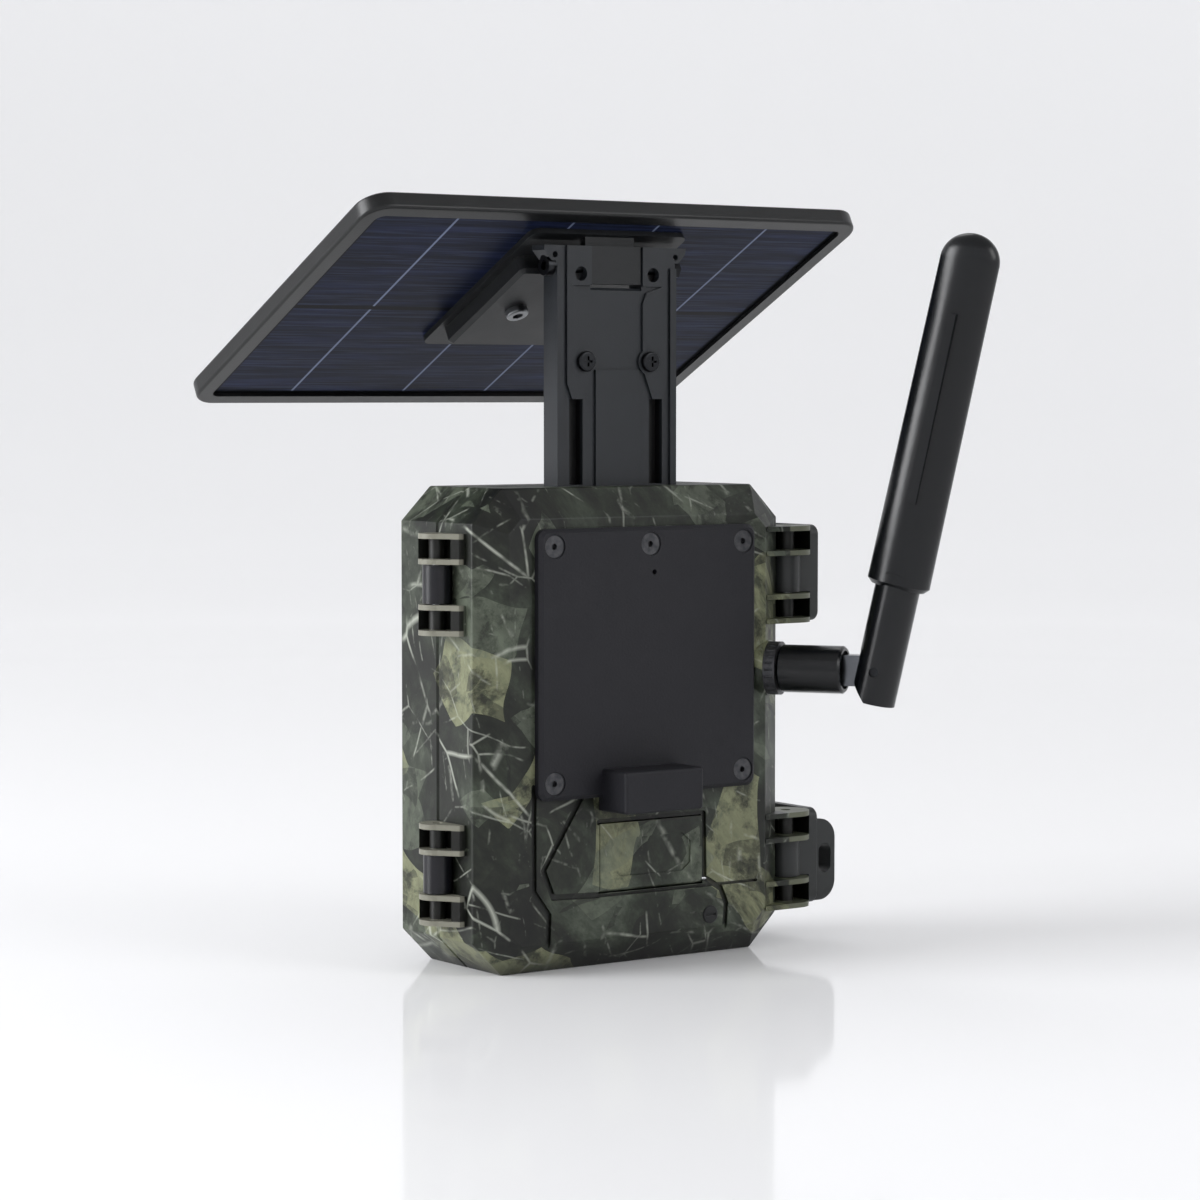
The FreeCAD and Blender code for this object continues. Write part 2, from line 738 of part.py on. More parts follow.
def make_mast():
    front = mast_rear - mast_thick
    body = prism_y(mast_outline(), front, mast_rear - mast_relief)
    body = fused([body, box(stand_x - mast_width / 2, stand_x + mast_width / 2, front, mast_rear, mast_foot,
                            case_height)])
    adds = []
    for outline in (mast_pad_outline(), mirrored_x(mast_pad_outline())):
        adds.append(prism_y(outline, mast_rear - 2.0, mast_rear))
    rail = mast_width / 2 - 2.2
    for side in (-1, 1):
        x0 = stand_x + side * rail
        x1 = stand_x + side * mast_width / 2
        adds.append(box(min(x0, x1), max(x0, x1), mast_rear - 2.0, mast_rear, case_height,
                        mast_top - ear_rise))
        adds.append(rod_y(3.9, mast_rear - 2.0, mast_rear, stand_x + side * mast_screw_x, mast_screw_z))
        adds.append(box(stand_x + side * 13.0 - 5.0, stand_x + side * 13.0 + 5.0, mast_rear - 2.0, mast_rear,
                        mast_top - 11.5, mast_top))
    adds.append(box(stand_x - 7.8, stand_x + 7.8, mast_rear - 2.0, mast_rear, case_height,
                    mast_screw_z - 2.4))
    body = fused([body] + adds)
    notch = notch_width / 2
    cuts = [box(stand_x - notch, stand_x + notch, front - 1, mast_rear + 1, notch_foot, mast_top + 1)]
    cuts.append(face_of([V(stand_x - notch, mast_rear + 0.01, notch_foot + 0.1),
                         V(stand_x - notch, mast_rear - 1.6, notch_foot + 0.1),
                         V(stand_x - notch, mast_rear + 0.01,
                           notch_foot - 1.6)]).extrude(V(notch_width, 0, 0)))
    for side in (-1, 1):
        x = stand_x + side * 14.4
        cuts.append(box(x - slot_width / 2, x + slot_width / 2, mast_rear - slot_deep, mast_rear + 1,
                        case_height + 0.4, mast_screw_z - 11.0))
        cuts.append(rod_y(2.1, mast_rear - 2.8, mast_rear + 1, stand_x + side * 13.0,
                          mast_top - 8.1))
        cuts.append(rod_y(0.9, mast_rear - 3.0, mast_rear + 1, stand_x + side * 21.7,
                          mast_top - 2.7))
        cuts.append(rod_y(1.5 + fit, mast_rear - 4.5, mast_rear + 1, stand_x + side * mast_screw_x,
                          mast_screw_z))
        x0 = stand_x + side * mast_width / 2
        cuts.append(rod_x(3.1, min(x0, x0 + side * 6), max(x0, x0 + side * 6), mast_middle_y(), tilt_axis_z))
    cuts.append(rod_x(tilt_bolt_r + fit, stand_x - 40, stand_x + 40, mast_middle_y(), tilt_axis_z))
    cuts.append(box(stand_x - 6.0, stand_x + 6.0, front - 1, front + 2.5, mast_foot + 20, notch_foot - 6))
    for cutter in cuts:
        body = body.cut(cutter)
    return body


def make_mast_screws():
    screws = []
    for side in (-1, 1):
        x = stand_x + side * mast_screw_x
        head = rod_y(3.0, mast_rear, mast_rear + 1.6, x, mast_screw_z)
        head = head.makeFillet(0.7, edges_in_plane_y(head, mast_rear + 1.6))
        shank = rod_y(1.5, mast_rear - 4.4, mast_rear + 0.1, x, mast_screw_z)
        slots = [box(x - 1.5, x + 1.5, mast_rear + 0.8, mast_rear + 2, mast_screw_z - 0.35,
                     mast_screw_z + 0.35),
                 box(x - 0.35, x + 0.35, mast_rear + 0.8, mast_rear + 2, mast_screw_z - 1.5,
                     mast_screw_z + 1.5)]
        screws.append(fused([head, shank]).cut(slots[0]).cut(slots[1]))
    return Part.makeCompound(screws)


def make_tilt_bolt():
    side = mast_width / 2
    y = mast_middle_y()
    shank = rod_x(tilt_bolt_r, stand_x - side - 0.1, stand_x + side + 0.1, y, tilt_axis_z)
    head = rod_x(2.8, stand_x + side + 0.05, stand_x + side + 2.4, y, tilt_axis_z)
    head = head.cut(rod_x(1.3, stand_x + side + 1.0, stand_x + side + 3, y, tilt_axis_z))
    nut_points = [V(stand_x - side - 2.4, y + 2.8 * math.cos(i * math.pi / 3),
                    tilt_axis_z + 2.8 * math.sin(i * math.pi / 3))
                  for i in range(6)]
    nut = face_of(nut_points).extrude(V(2.35, 0, 0))
    return fused([shank, head, nut])


# ---- solar panel, drawn flat about its middle, then tilted ----
def tilted(shape):
    turn = FreeCAD.Rotation(ALONG_X, panel_tilt)
    place = FreeCAD.Placement(V(stand_x, panel_centre_y, panel_centre_z), turn)
    moved = shape.copy()
    moved.Placement = place.multiply(moved.Placement)
    return moved


def tilt_axis_local():
    """The tilt axis as (along the slope, above the panel's underside)."""
    angle = math.radians(panel_tilt)
    dy = mast_middle_y() - panel_centre_y
    dz = tilt_axis_z - panel_centre_z
    return dy * math.cos(angle) + dz * math.sin(angle), -dy * math.sin(angle) + dz * math.cos(angle)


def slab(length, width, z0, z1, corner):
    plate = box(-length / 2, length / 2, -width / 2, width / 2, z0, z1)
    if corner == 0:
        return plate
    return plate.makeFillet(corner, [e for e in plate.Edges if abs(e.tangentAt(e.FirstParameter).z) > 0.99])


def make_panel_frame():
    frame = slab(panel_length, panel_width, 0, panel_thick, panel_corner)
    rims = [e for e in frame.Edges if all(abs(v.Point.z) < 0.01 for v in e.Vertexes)
            or all(abs(v.Point.z - panel_thick) < 0.01 for v in e.Vertexes)]
    frame = frame.makeFillet(0.9, rims)
    window = slab(panel_length - 2 * panel_rim, panel_width - 2 * panel_rim, -1, panel_thick + 1, 3.0)
    return tilted(frame.cut(window).cut(laminate_form(laminate_foot, glass_top())))


def glass_top():
    return laminate_foot + backsheet_thick + cell_thick + glass_thick


def laminate_form(z0, z1):
    return slab(panel_length - 2 * panel_rim + 2 * laminate_grip,
                panel_width - 2 * panel_rim + 2 * laminate_grip,
                z0, z1, 0)


def make_panel_glass():
    return tilted(laminate_form(glass_top() - glass_thick, glass_top()))


def make_panel_backsheet():
    return tilted(laminate_form(laminate_foot, laminate_foot + backsheet_thick))


def make_panel_cells():
    low = laminate_foot + backsheet_thick
    length = panel_length - 2 * panel_rim - 2.0
    width = panel_width - 2 * panel_rim - 2.0
    step_x = length / cell_columns
    step_y = width / cell_rows
    cells = []
    for i in range(cell_columns):
        for j in range(cell_rows):
            x = -length / 2 + i * step_x
            y = -width / 2 + j * step_y
            cells.append(box(x + cell_gap_x / 2, x + step_x - cell_gap_x / 2,
                             y + cell_gap_y / 2, y + step_y - cell_gap_y / 2, low, low + cell_thick))
    return tilted(Part.makeCompound(cells))


def make_panel_pad():
    axis_b, axis_k = tilt_axis_local()
    low = laminate_foot - pad_flange
    flange = box(-pad_width / 2, pad_width / 2, pad_low, pad_high, low, laminate_foot)
    flange = flange.makeFillet(3.0, [e for e in flange.Edges if abs(e.tangentAt(e.FirstParameter).z) > 0.99])
    block = box(-pad_block_width / 2, pad_block_width / 2, pad_block_low, axis_b - pad_block_clear,
                low - pad_block_thick, low + 0.1)
    block = block.makeFillet(2.0, [e for e in block.Edges if abs(e.tangentAt(e.FirstParameter).z) > 0.99])
    block = block.makeChamfer(1.2, [e for e in block.Edges
                                    if all(abs(v.Point.z - low + pad_block_thick) < 0.01
                                           for v in e.Vertexes)])
    pad = fused([flange, block])
    for side in (-1, 1):
        pad = pad.cut(rod_z(pad_screw_r + fit, low - pad_block_thick - 1, low, side * pad_screw_x,
                            pad_screw_b))
    pad = fused([tilted(pad), tilt_tongue(axis_k - low)])
    return pad.cut(rod_x(tilt_bolt_r + run, stand_x - 40, stand_x + 40, mast_middle_y(), tilt_axis_z))


def tilt_tongue(rise):
    """The leaf between the mast's ears, upright at rest; rise is from the pad's face to the tilt axis."""
    angle = math.radians(panel_tilt)
    half_thick = mast_thick / 2 - tongue_relief
    swing = notch_room()
    drop = math.sqrt(swing * swing - half_thick * half_thick)
    step = half_thick - tongue_step
    top = mast_top - tilt_axis_z
    outline = []
    for y, z in ((-half_thick, -drop), (half_thick, -drop), (half_thick, top), (step, top), (step, None),
                 (-half_thick, None)):
        if z is None:
            z = (-rise + pad_flange / 2 + y * math.sin(angle)) / math.cos(angle)
        outline.append(V(stand_x - notch_width / 2 + 0.4, mast_middle_y() + y, tilt_axis_z + z))
    return face_of(outline).extrude(V(notch_width - 0.8, 0, 0))


def notch_room():
    """How far the leaf may reach from the tilt axis before it meets the foot of the notch."""
    return tilt_axis_z - notch_foot - slip


def make_pad_screws():
    low = laminate_foot - pad_flange - pad_block_thick
    screws = []
    for side in (-1, 1):
        x = side * pad_screw_x
        head = rod_z(3.4, low - 2.0, low, x, pad_screw_b)
        head = head.makeFillet(0.6, [e for e in head.Edges if all(abs(v.Point.z - low + 2.0) < 0.01
                                                                  for v in e.Vertexes)])
        hexagon = face_of([V(x + 1.7 * math.cos(i * math.pi / 3),
                             pad_screw_b + 1.7 * math.sin(i * math.pi / 3), low - 3)
                           for i in range(6)]).extrude(V(0, 0, 2.2))
        shank = rod_z(pad_screw_r, low - 0.1, low + pad_block_thick, x, pad_screw_b)
        screws.append(fused([head.cut(hexagon), shank]))
    return tilted(Part.makeCompound(screws))


# ---- antenna ----
def elbow_point():
    return antenna_point(elbow_reach, 0, 0)


def arm_dir():
    lean = math.radians(arm_lean)
    return UP * math.cos(lean) + out_dir * math.sin(lean)


def arm_side():
    """Square to the arm and to the elbow pin, towards the antenna's base."""
    lean = math.radians(arm_lean)
    return UP * math.sin(lean) - out_dir * math.cos(lean)


def arm_point(side, up, across=0.0):
    return elbow_point() + arm_side() * side + arm_dir() * up + across_dir * across


def arm_rod(radius, up0, up1):
    return rod(radius, arm_point(0, up0), arm_point(0, up1))


def arm_prism(outline, across0, across1):
    """Extrudes a (side, up) outline along the elbow pin."""
    points = [arm_point(s, u, across0) for s, u in outline]
    return face_of(points).extrude(across_dir * (across1 - across0))


def make_antenna_connector():
    nut = antenna_rod(5.0, -wall - 5.6, -wall - 3.5)
    body = antenna_rod(connector_r, -wall - 8.0, collar_end + 5.0)
    return fused([body, nut]).cut(antenna_rod(1.0, collar_end - 1, collar_end + 6))


def make_antenna_collar():
    collar = antenna_rod(collar_r, boss_proud, collar_end).cut(antenna_rod(connector_r + fit, boss_proud - 1,
                                                                           collar_end + 1))
    for i in range(24):
        angle = i * math.pi / 12
        spot = antenna_point(0, collar_r * math.cos(angle), collar_r * math.sin(angle))
        collar = collar.cut(Part.makeCylinder(0.35, 2.4, spot + out_dir * (boss_proud + 0.6), out_dir))
    return collar


def make_antenna_base():
    foot = collar_end + slip
    barrel = antenna_rod(base_r, foot, base_end)
    rim = [e for e in barrel.Edges if isinstance(e.Curve, Part.Circle)]
    barrel = barrel.makeChamfer(0.6, rim)
    bore = antenna_rod(connector_r + run, foot - 1, collar_end + 5.4)
    socket = antenna_block(base_end - 4, base_end + 1, -tongue_half_thick, tongue_half_thick,
                           -tongue_half_height, tongue_half_height)
    dish = antenna_rod(base_r - 1.4, base_end - 1.2, base_end + 1)
    return barrel.cut(bore).cut(socket).cut(dish)


def make_antenna_knuckle():
    block = antenna_block(base_end - 4, elbow_reach, -tongue_half_thick, tongue_half_thick,
                          -tongue_half_height, tongue_half_height)
    nose = rod(tongue_half_height, antenna_point(elbow_reach, -tongue_half_thick, 0),
               antenna_point(elbow_reach, tongue_half_thick, 0))
    pin = rod(elbow_pin_r + run, antenna_point(elbow_reach, -9, 0), antenna_point(elbow_reach, 9, 0))
    return fused([block, nose]).cut(pin)


def make_elbow_pin():
    reach = arm_r - 0.9
    return rod(elbow_pin_r, antenna_point(elbow_reach, -reach, 0), antenna_point(elbow_reach, reach, 0))


def make_antenna_arm():
    arm = fused([arm_rod(arm_r, -arm_tail, arm_top), arm_rod(spigot_r, arm_top - 0.5, spigot_top)])
    room = tongue_half_height + 0.4
    gap = tongue_half_thick + slip
    slot = arm_prism([(-room, room), (12.0, room), (12.0, -12.0), (-room, -12.0)], -gap, gap)
    heel = arm_prism([(7.5, -3.4), (7.5, -12.0), (-1.5, -12.0)], -9, 9)
    pin = rod(elbow_pin_r + fit, antenna_point(elbow_reach, -9, 0), antenna_point(elbow_reach, 9, 0))
    return arm.cut(slot).cut(heel).cut(pin)


def sheath_section(up, half_width, half_thick):
    centre = arm_point(0, up)
    if half_width >= half_thick:
        oval = Part.Ellipse(centre + arm_side() * half_width, centre + across_dir * half_thick, centre)
    else:
        oval = Part.Ellipse(centre + across_dir * half_thick, centre + arm_side() * half_width, centre)
    return Part.Wire([oval.toShape()])


def sheath_dome():
    """The rounded tip: a ball stretched to the sheath's last section."""
    stretch = FreeCAD.Matrix()
    stretch.scale(V(sheath_tip_width, sheath_tip_thick, sheath_crown))
    ball = Part.makeSphere(1.0).transformGeometry(stretch)
    turn = FreeCAD.Rotation(arm_side(), across_dir, arm_dir(), "ZXY")
    ball.Placement = FreeCAD.Placement(arm_point(0, sheath_tip - sheath_crown), turn)
    return ball


def make_antenna_sheath():
    stations = 5
    low = sheath_foot + sheath_lip
    high = sheath_tip - sheath_crown
    sections = []
    for i in range(stations):
        share = i / (stations - 1)
        sections.append(sheath_section(low + (high - low) * share,
                                       sheath_half_width + (sheath_tip_width - sheath_half_width) * share,
                                       sheath_half_thick + (sheath_tip_thick
                                                            - sheath_half_thick) * math.sqrt(share)))
    body = Part.makeLoft(sections, True, False)
    lip = Part.makeLoft([sheath_section(sheath_foot, sheath_half_width - sheath_lip,
                                        sheath_half_thick - sheath_lip),
                         sheath_section(sheath_foot + sheath_lip, sheath_half_width,
                                        sheath_half_thick)], True, True)
    sheath = fused([body, lip, sheath_dome()])
    rib_foot = sheath_foot + 5.0 + grip_lines * grip_pitch
    rib = [arm_prism([(-1.6, rib_foot), (1.6, rib_foot), (1.2, sheath_tip - 24), (-1.2, sheath_tip - 24)],
                     -sheath_half_thick + 0.2, sheath_half_thick - 0.2)]
    sheath = fused([sheath] + rib)
    for i in range(grip_lines):
        reach = 4.0 + 1.1 * i
        crown = arm_point(0, sheath_foot + 5.0 + grip_pitch * i)
        sheath = sheath.cut(grip_line(crown, reach))
    inside = fused([arm_rod(arm_r + fit, 0, arm_top), arm_rod(spigot_r + fit, arm_top - 0.1, spigot_top
                                                              + fit)])
    return sheath.cut(inside).cut(element_form())


def grip_line(crown, reach):
    """A bowed groove across both broad faces of the sheath."""
    radius = reach * 2.2
    centre = crown - arm_dir() * radius
    ring = rod(radius, centre - across_dir * 9, centre + across_dir * 9)
    ring = ring.cut(rod(radius - 0.6, centre - across_dir * 10, centre + across_dir * 10))
    keep = fused([arm_prism([(-reach, 0), (reach, 0), (reach, sheath_tip), (-reach, sheath_tip)], side * 9,
                            side * (sheath_half_thick - 0.55)) for side in (-1, 1)])
    return ring.common(keep)


def element_form():
    return arm_rod(element_r, spigot_top + fit, sheath_tip - 12)


# ---- front case ----
bezel_face = front_face - bezel_proud


def make_front_shell():
    shell = case_outer(-1, front_flat).cut(case_inner(-1, front_flat))
    bezel = tapered(bezel_width, bezel_height, bezel_cut, 3.0, bezel_cut - 1.6, mid_z,
                    front_face + 1.0, bezel_face + bezel_slope, bezel_face)
    hollow = prism_y(octagon_points(bezel_width - 5.6, bezel_height - 5.6, bezel_cut - 1.6, mid_z),
                     front_face + wall + 1, bezel_face + 2.5)
    hood = rod_y(hood_r, bezel_face - hood_proud, bezel_face + 1, 0, lens_z)
    adds = [bezel, hood]
    for centre in (upper_centre, lower_latch_centre):
        keeper = box(lever_inner + 0.4, -half + 1.5, lever_toe + 0.8, lever_toe + 0.8 + keeper_thick,
                     centre - 7, centre + 7)
        adds.append(keeper)
    shell = fused([shell] + adds).cut(hollow)
    posts = []
    for x in (-46.0, 46.0):
        for z in (26.0, 114.0):
            posts.append(rod_y(2.6, front_face + wall - 0.5, inner_face - panel_skin, x, z))
    posts.append(fused([rod_y(hood_r, bezel_face + 1, bezel_face + 3.5, 0, lens_z)]))
    shell = fused([shell] + posts)
    front = bezel_face - hood_proud
    cuts = [rod_y(lens_window_r + fit, front - 1, bezel_face + 0.4, 0, lens_z)]
    cuts.append(rod_y(lens_window_r - 1.4, front - 1, bezel_face + 5, 0, lens_z))
    cuts.append(Part.makeCone(hood_r - 1.2, lens_window_r, hood_proud - 1.5, V(0, front - 0.01, lens_z),
                              ALONG_Y))
    cuts.append(box(-ir_width / 2, ir_width / 2, bezel_face - 1, bezel_face + 1.7, ir_z - ir_height / 2,
                    ir_z + ir_height / 2))
    cuts.append(box(-ir_width / 2 + 1.6, ir_width / 2 - 1.6, bezel_face - 1, bezel_face + 5,
                    ir_z - ir_height / 2 + 1.6,
                    ir_z + ir_height / 2 - 1.6))
    cuts.append(box(-pir_width / 2, pir_width / 2, bezel_face - 1, bezel_face + 5, pir_z - pir_height / 2,
                    pir_z + pir_height / 2))
    cuts.append(rod_y(2.0 + fit, bezel_face - 1, bezel_face + 5, 24.0, lens_z))
    for centre in (upper_centre, lower_hinge_centre):
        cuts.append(knuckle_form(centre))
    for cutter in cuts:
        shell = shell.cut(cutter)
    return shell


def knuckle_form(centre):
    reach = lug_gap / 2 - slip
    barrel = rod_z(knuckle_r, centre - reach, centre + reach, hinge_x, hinge_y)
    arm = prism_z([(half - 1.3, -0.5), (half, -0.5), (hinge_x - 1.5, hinge_y - 2.0),
                   (hinge_x + 3.0, hinge_y - 2.4),
                   (half, -5.8), (half - 1.3, -5.8)], centre - reach, centre + reach)
    return fused([barrel, arm])


def make_knuckle(centre):
    return knuckle_form(centre).cut(rod_z(pin_r + run, centre - 20, centre + 20, hinge_x, hinge_y))


def make_lens_window():
    return rod_y(lens_window_r, bezel_face - 1.1, bezel_face + 0.4, 0, lens_z)


holder_back = board_front - 1.6
holder_front = holder_back - 5.5
filter_y0 = holder_back - 3.2
filter_y1 = holder_back - 2.2


def make_lens_barrel():
    barrel = rod_y(9.0, bezel_face + 2.4, holder_front + 0.5, 0, lens_z)
    for i in range(4):
        y = bezel_face + 5 + i * 1.6
        barrel = barrel.cut(rod_y(10, y, y + 0.7, 0, lens_z).cut(rod_y(8.5, y - 1, y + 2, 0, lens_z)))
    holder = box(-12, 12, holder_front, holder_back, lens_z - 12, lens_z + 12)
    whole = fused([barrel, holder])
    whole = whole.cut(rod_y(7.0, bezel_face + 2, bezel_face + 6.4, 0, lens_z))
    whole = whole.cut(rod_y(4.0, bezel_face + 2, holder_back + 1, 0, lens_z))
    return whole.cut(box(-13, 13, filter_y0 - 0.2, filter_y1 + 0.2, lens_z - 5.2, lens_z + 5.2))


def make_lens_glass():
    disc = rod_y(6.95, bezel_face + 3.4, bezel_face + 6.4, 0, lens_z)
    ball = Part.makeSphere(11.0, V(0, bezel_face + 14.0, lens_z))
    return disc.common(ball)


def make_image_sensor():
    board = box(-12, 12, holder_back, board_front, lens_z - 12, lens_z + 12)
    chip = box(-2.7, 2.7, holder_back - 0.7, holder_back + 0.1, lens_z - 2.7, lens_z + 2.7)
    return fused([board, chip])


def make_ir_cut_filter():
    pane = 9.0
    frame = box(-pane * 1.5, pane / 2, filter_y0, filter_y1, lens_z - 4.9, lens_z + 4.9)
    return frame.cut(rod_y(3.9, filter_y0 - 1, filter_y1 + 1, -pane, lens_z))


ir_led_rows = 3
ir_led_columns = 8
led_r = 2.4
led_board_y = bezel_face + 7.0


def make_ir_board():
    return box(-27, 27, led_board_y, led_board_y + board_thick, ir_z - 12.4, ir_z + 12.4)


def make_ir_leds():
    leds = []
    for i in range(ir_led_columns):
        for j in range(ir_led_rows):
            x = (i - (ir_led_columns - 1) / 2) * 6.5
            z = ir_z + (j - (ir_led_rows - 1) / 2) * 7.8
            can = rod_y(led_r, led_board_y - 2.4, led_board_y, x, z)
            dome = Part.makeSphere(led_r, V(x, led_board_y - 2.4, z))
            leds.append(fused([can, dome]).cut(box(x - 4, x + 4, led_board_y, led_board_y + 4, z - 4,
                                                   z + 4)))
    return Part.makeCompound(leds)


def make_ir_window():
    return box(-ir_width / 2 + fit, ir_width / 2 - fit, bezel_face + 0.1, bezel_face + 1.7,
               ir_z - ir_height / 2 + fit, ir_z + ir_height / 2 - fit)


def make_pir_lens():
    w = pir_width / 2 - fit
    h = pir_height / 2 - fit
    bow = box(-w, w, bezel_face - 6, bezel_face + 3.0, pir_z - h, pir_z + h)
    radius = 24.0
    centre_y = bezel_face - 4.2 + radius
    outer = rod_z(radius, pir_z - 20, pir_z + 20, 0, centre_y)
    inner = rod_z(radius - 1.3, pir_z - 20, pir_z + 20, 0, centre_y)
    skin = bow.common(outer).cut(inner)
    flange = box(-w - 1.6, w + 1.6, bezel_face + 2.5, bezel_face + 3.7, pir_z - h - 1.6, pir_z + h + 1.6)
    flange = flange.cut(box(-w + 1.2, w - 1.2, bezel_face + 2, bezel_face + 4, pir_z - h + 1.2,
                            pir_z + h - 1.2))
    sides = bow.common(outer).cut(box(-w + 1.2, w - 1.2, bezel_face - 9, bezel_face + 4, pir_z - h + 1.2,
                                      pir_z + h - 1.2))
    return fused([skin, flange, sides])


def make_pir_sensor():
    can = rod_y(4.6, board_front - 8.0, board_front, 0, pir_z)
    brim = rod_y(5.4, board_front - 1.2, board_front, 0, pir_z)
    return fused([can, brim]).cut(box(-2, 2, board_front - 8.4, board_front - 7.6, pir_z - 1.5, pir_z + 1.5))


def make_light_pipe():
    pipe = rod_y(2.0, bezel_face - 0.2, board_front, 24.0, lens_z)
    return pipe


def make_main_board():
    board = box(-42, 42, board_front, board_front + board_thick, 18, 122)
    return board


board_back = board_front + board_thick


def make_lcd_screen():
    return box(-26, 26, board_back, inner_face - panel_skin - 0.2, 70, 112)


def key_places():
    return [(-1.5 * key_pitch, key_z), (-0.5 * key_pitch, key_z), (0.5 * key_pitch, key_z),
            (1.5 * key_pitch, key_z)]


def make_inner_panel():
    inset = 2 * wall + 2 * slip + 0.4
    panel = prism_y(octagon_points(case_width - inset, case_height - inset, corner_cut - 1.6, mid_z),
                    inner_face - panel_skin, inner_face)
    cuts = [box(-23, 23, -9, 0, 74, 108)]
    for x, z in key_places():
        cuts.append(rod_y(key_r + slip, -9, 0, x, z))
    cuts.append(box(switch_x - 4 - switch_travel - slip, switch_x + 4 + switch_travel + slip, -9, 0,
                    switch_z - 1.6 - slip, switch_z + 1.6 + slip))
    cuts.append(box(-40, -12, -9, 0, 6, 17))
    for cutter in cuts:
        panel = panel.cut(cutter)
    ridge = [rounded_plate(-25, 25, inner_face - 0.1, inner_face + 0.5, 72, 110,
                           2.0).cut(box(-23, 23, -9, 0, 74, 108))]
    return fused([panel] + ridge)


def make_key(index):
    x, z = key_places()[index]
    cap = rod_y(key_r, board_back + 1.2, inner_face + 0.8, x, z)
    cap = cap.makeFillet(0.5, edges_in_plane_y(cap, inner_face + 0.8))
    skirt = rod_y(key_r + 1.0, board_back + 1.2, board_back + 2.4, x, z)
    return fused([cap, skirt])


def make_mode_switch():
    knob = box(switch_x - 4, switch_x + 4, board_back + 0.4, inner_face + 0.7, switch_z - 1.6,
               switch_z + 1.6)
    for i in range(3):
        x = switch_x - 2.4 + i * 2.0
        knob = knob.cut(box(x, x + 0.8, inner_face + 0.3, inner_face + 2, switch_z - 3, switch_z + 3))
    return knob


card_x = -26.0


def make_card_slot():
    can = box(card_x - 13, card_x + 13, board_back, board_back + 2.8, 19, 45)
    return can.cut(box(card_x - 12.3, card_x + 12.3, board_back + 0.3, board_back + 2.6, 18, 43.4))


def make_memory_card():
    card = box(card_x - 12, card_x + 12, board_back + 0.4, board_back + 2.5, 10, 42)
    notch = prism_y([(card_x + 8, 43), (card_x + 13, 43), (card_x + 13, 38)], board_back, board_back + 3)
    return card.cut(notch)


# ---- write every piece ----
pieces = {
    "rear_shell": make_rear_shell,
    "case_gasket": make_case_gasket,
    "mounting_plate": make_mounting_plate,
    "plate_screws": make_plate_screws,
    "tripod_block": make_tripod_block,
    "tripod_insert": make_tripod_insert,
    "port_flap": make_port_flap,
    "flap_pin": make_flap_pin,
    "port_plug": make_port_plug,
    "dc_socket": make_dc_socket,
    "battery_tray": make_battery_tray,
    "battery_cells": make_battery_cells,
    "battery_contacts": make_battery_contacts,
    "battery_cover": make_battery_cover,
    "hinge_pins": make_hinge_pins,
    "latch_pins": make_latch_pins,
    "upper_latch_lever": make_upper_latch_lever,
    "lower_latch_lever": make_lower_latch_lever,
    "mast": make_mast,
    "mast_screws": make_mast_screws,
    "tilt_bolt": make_tilt_bolt,
    "panel_frame": make_panel_frame,
    "panel_glass": make_panel_glass,
    "panel_cells": make_panel_cells,
    "panel_backsheet": make_panel_backsheet,
    "panel_pad": make_panel_pad,
    "pad_screws": make_pad_screws,
    "antenna_connector": make_antenna_connector,
    "antenna_collar": make_antenna_collar,
    "antenna_base": make_antenna_base,
    "antenna_knuckle": make_antenna_knuckle,
    "elbow_pin": make_elbow_pin,
    "antenna_arm": make_antenna_arm,
    "antenna_sheath": make_antenna_sheath,
    "antenna_element": element_form,
    "front_shell": make_front_shell,
    "upper_hinge_knuckle": lambda: make_knuckle(upper_centre),
    "lower_hinge_knuckle": lambda: make_knuckle(lower_hinge_centre),
    "lens_window": make_lens_window,
    "lens_barrel": make_lens_barrel,
    "lens_glass": make_lens_glass,
    "image_sensor": make_image_sensor,
    "ir_cut_filter": make_ir_cut_filter,
    "ir_board": make_ir_board,
    "ir_leds": make_ir_leds,
    "ir_window": make_ir_window,
    "pir_lens": make_pir_lens,
    "pir_sensor": make_pir_sensor,
    "light_pipe": make_light_pipe,
    "main_board": make_main_board,
    "lcd_screen": make_lcd_screen,
    "inner_panel": make_inner_panel,
    "menu_key": lambda: make_key(0),
    "up_key": lambda: make_key(1),
    "down_key": lambda: make_key(2),
    "ok_key": lambda: make_key(3),
    "mode_switch": make_mode_switch,
    "card_slot": make_card_slot,
    "memory_card": make_memory_card,
}

os.makedirs("parts", exist_ok=True)
for name, make in pieces.items():
    shape = make().copy()
    shape.translate(V(0, shift, 0))
    shape.exportStep("parts/" + name + ".step")
    print(name, len(shape.Solids), round(shape.Volume), shape.isValid())
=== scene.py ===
import math

import bmesh
import bpy
from mathutils import Matrix, Vector


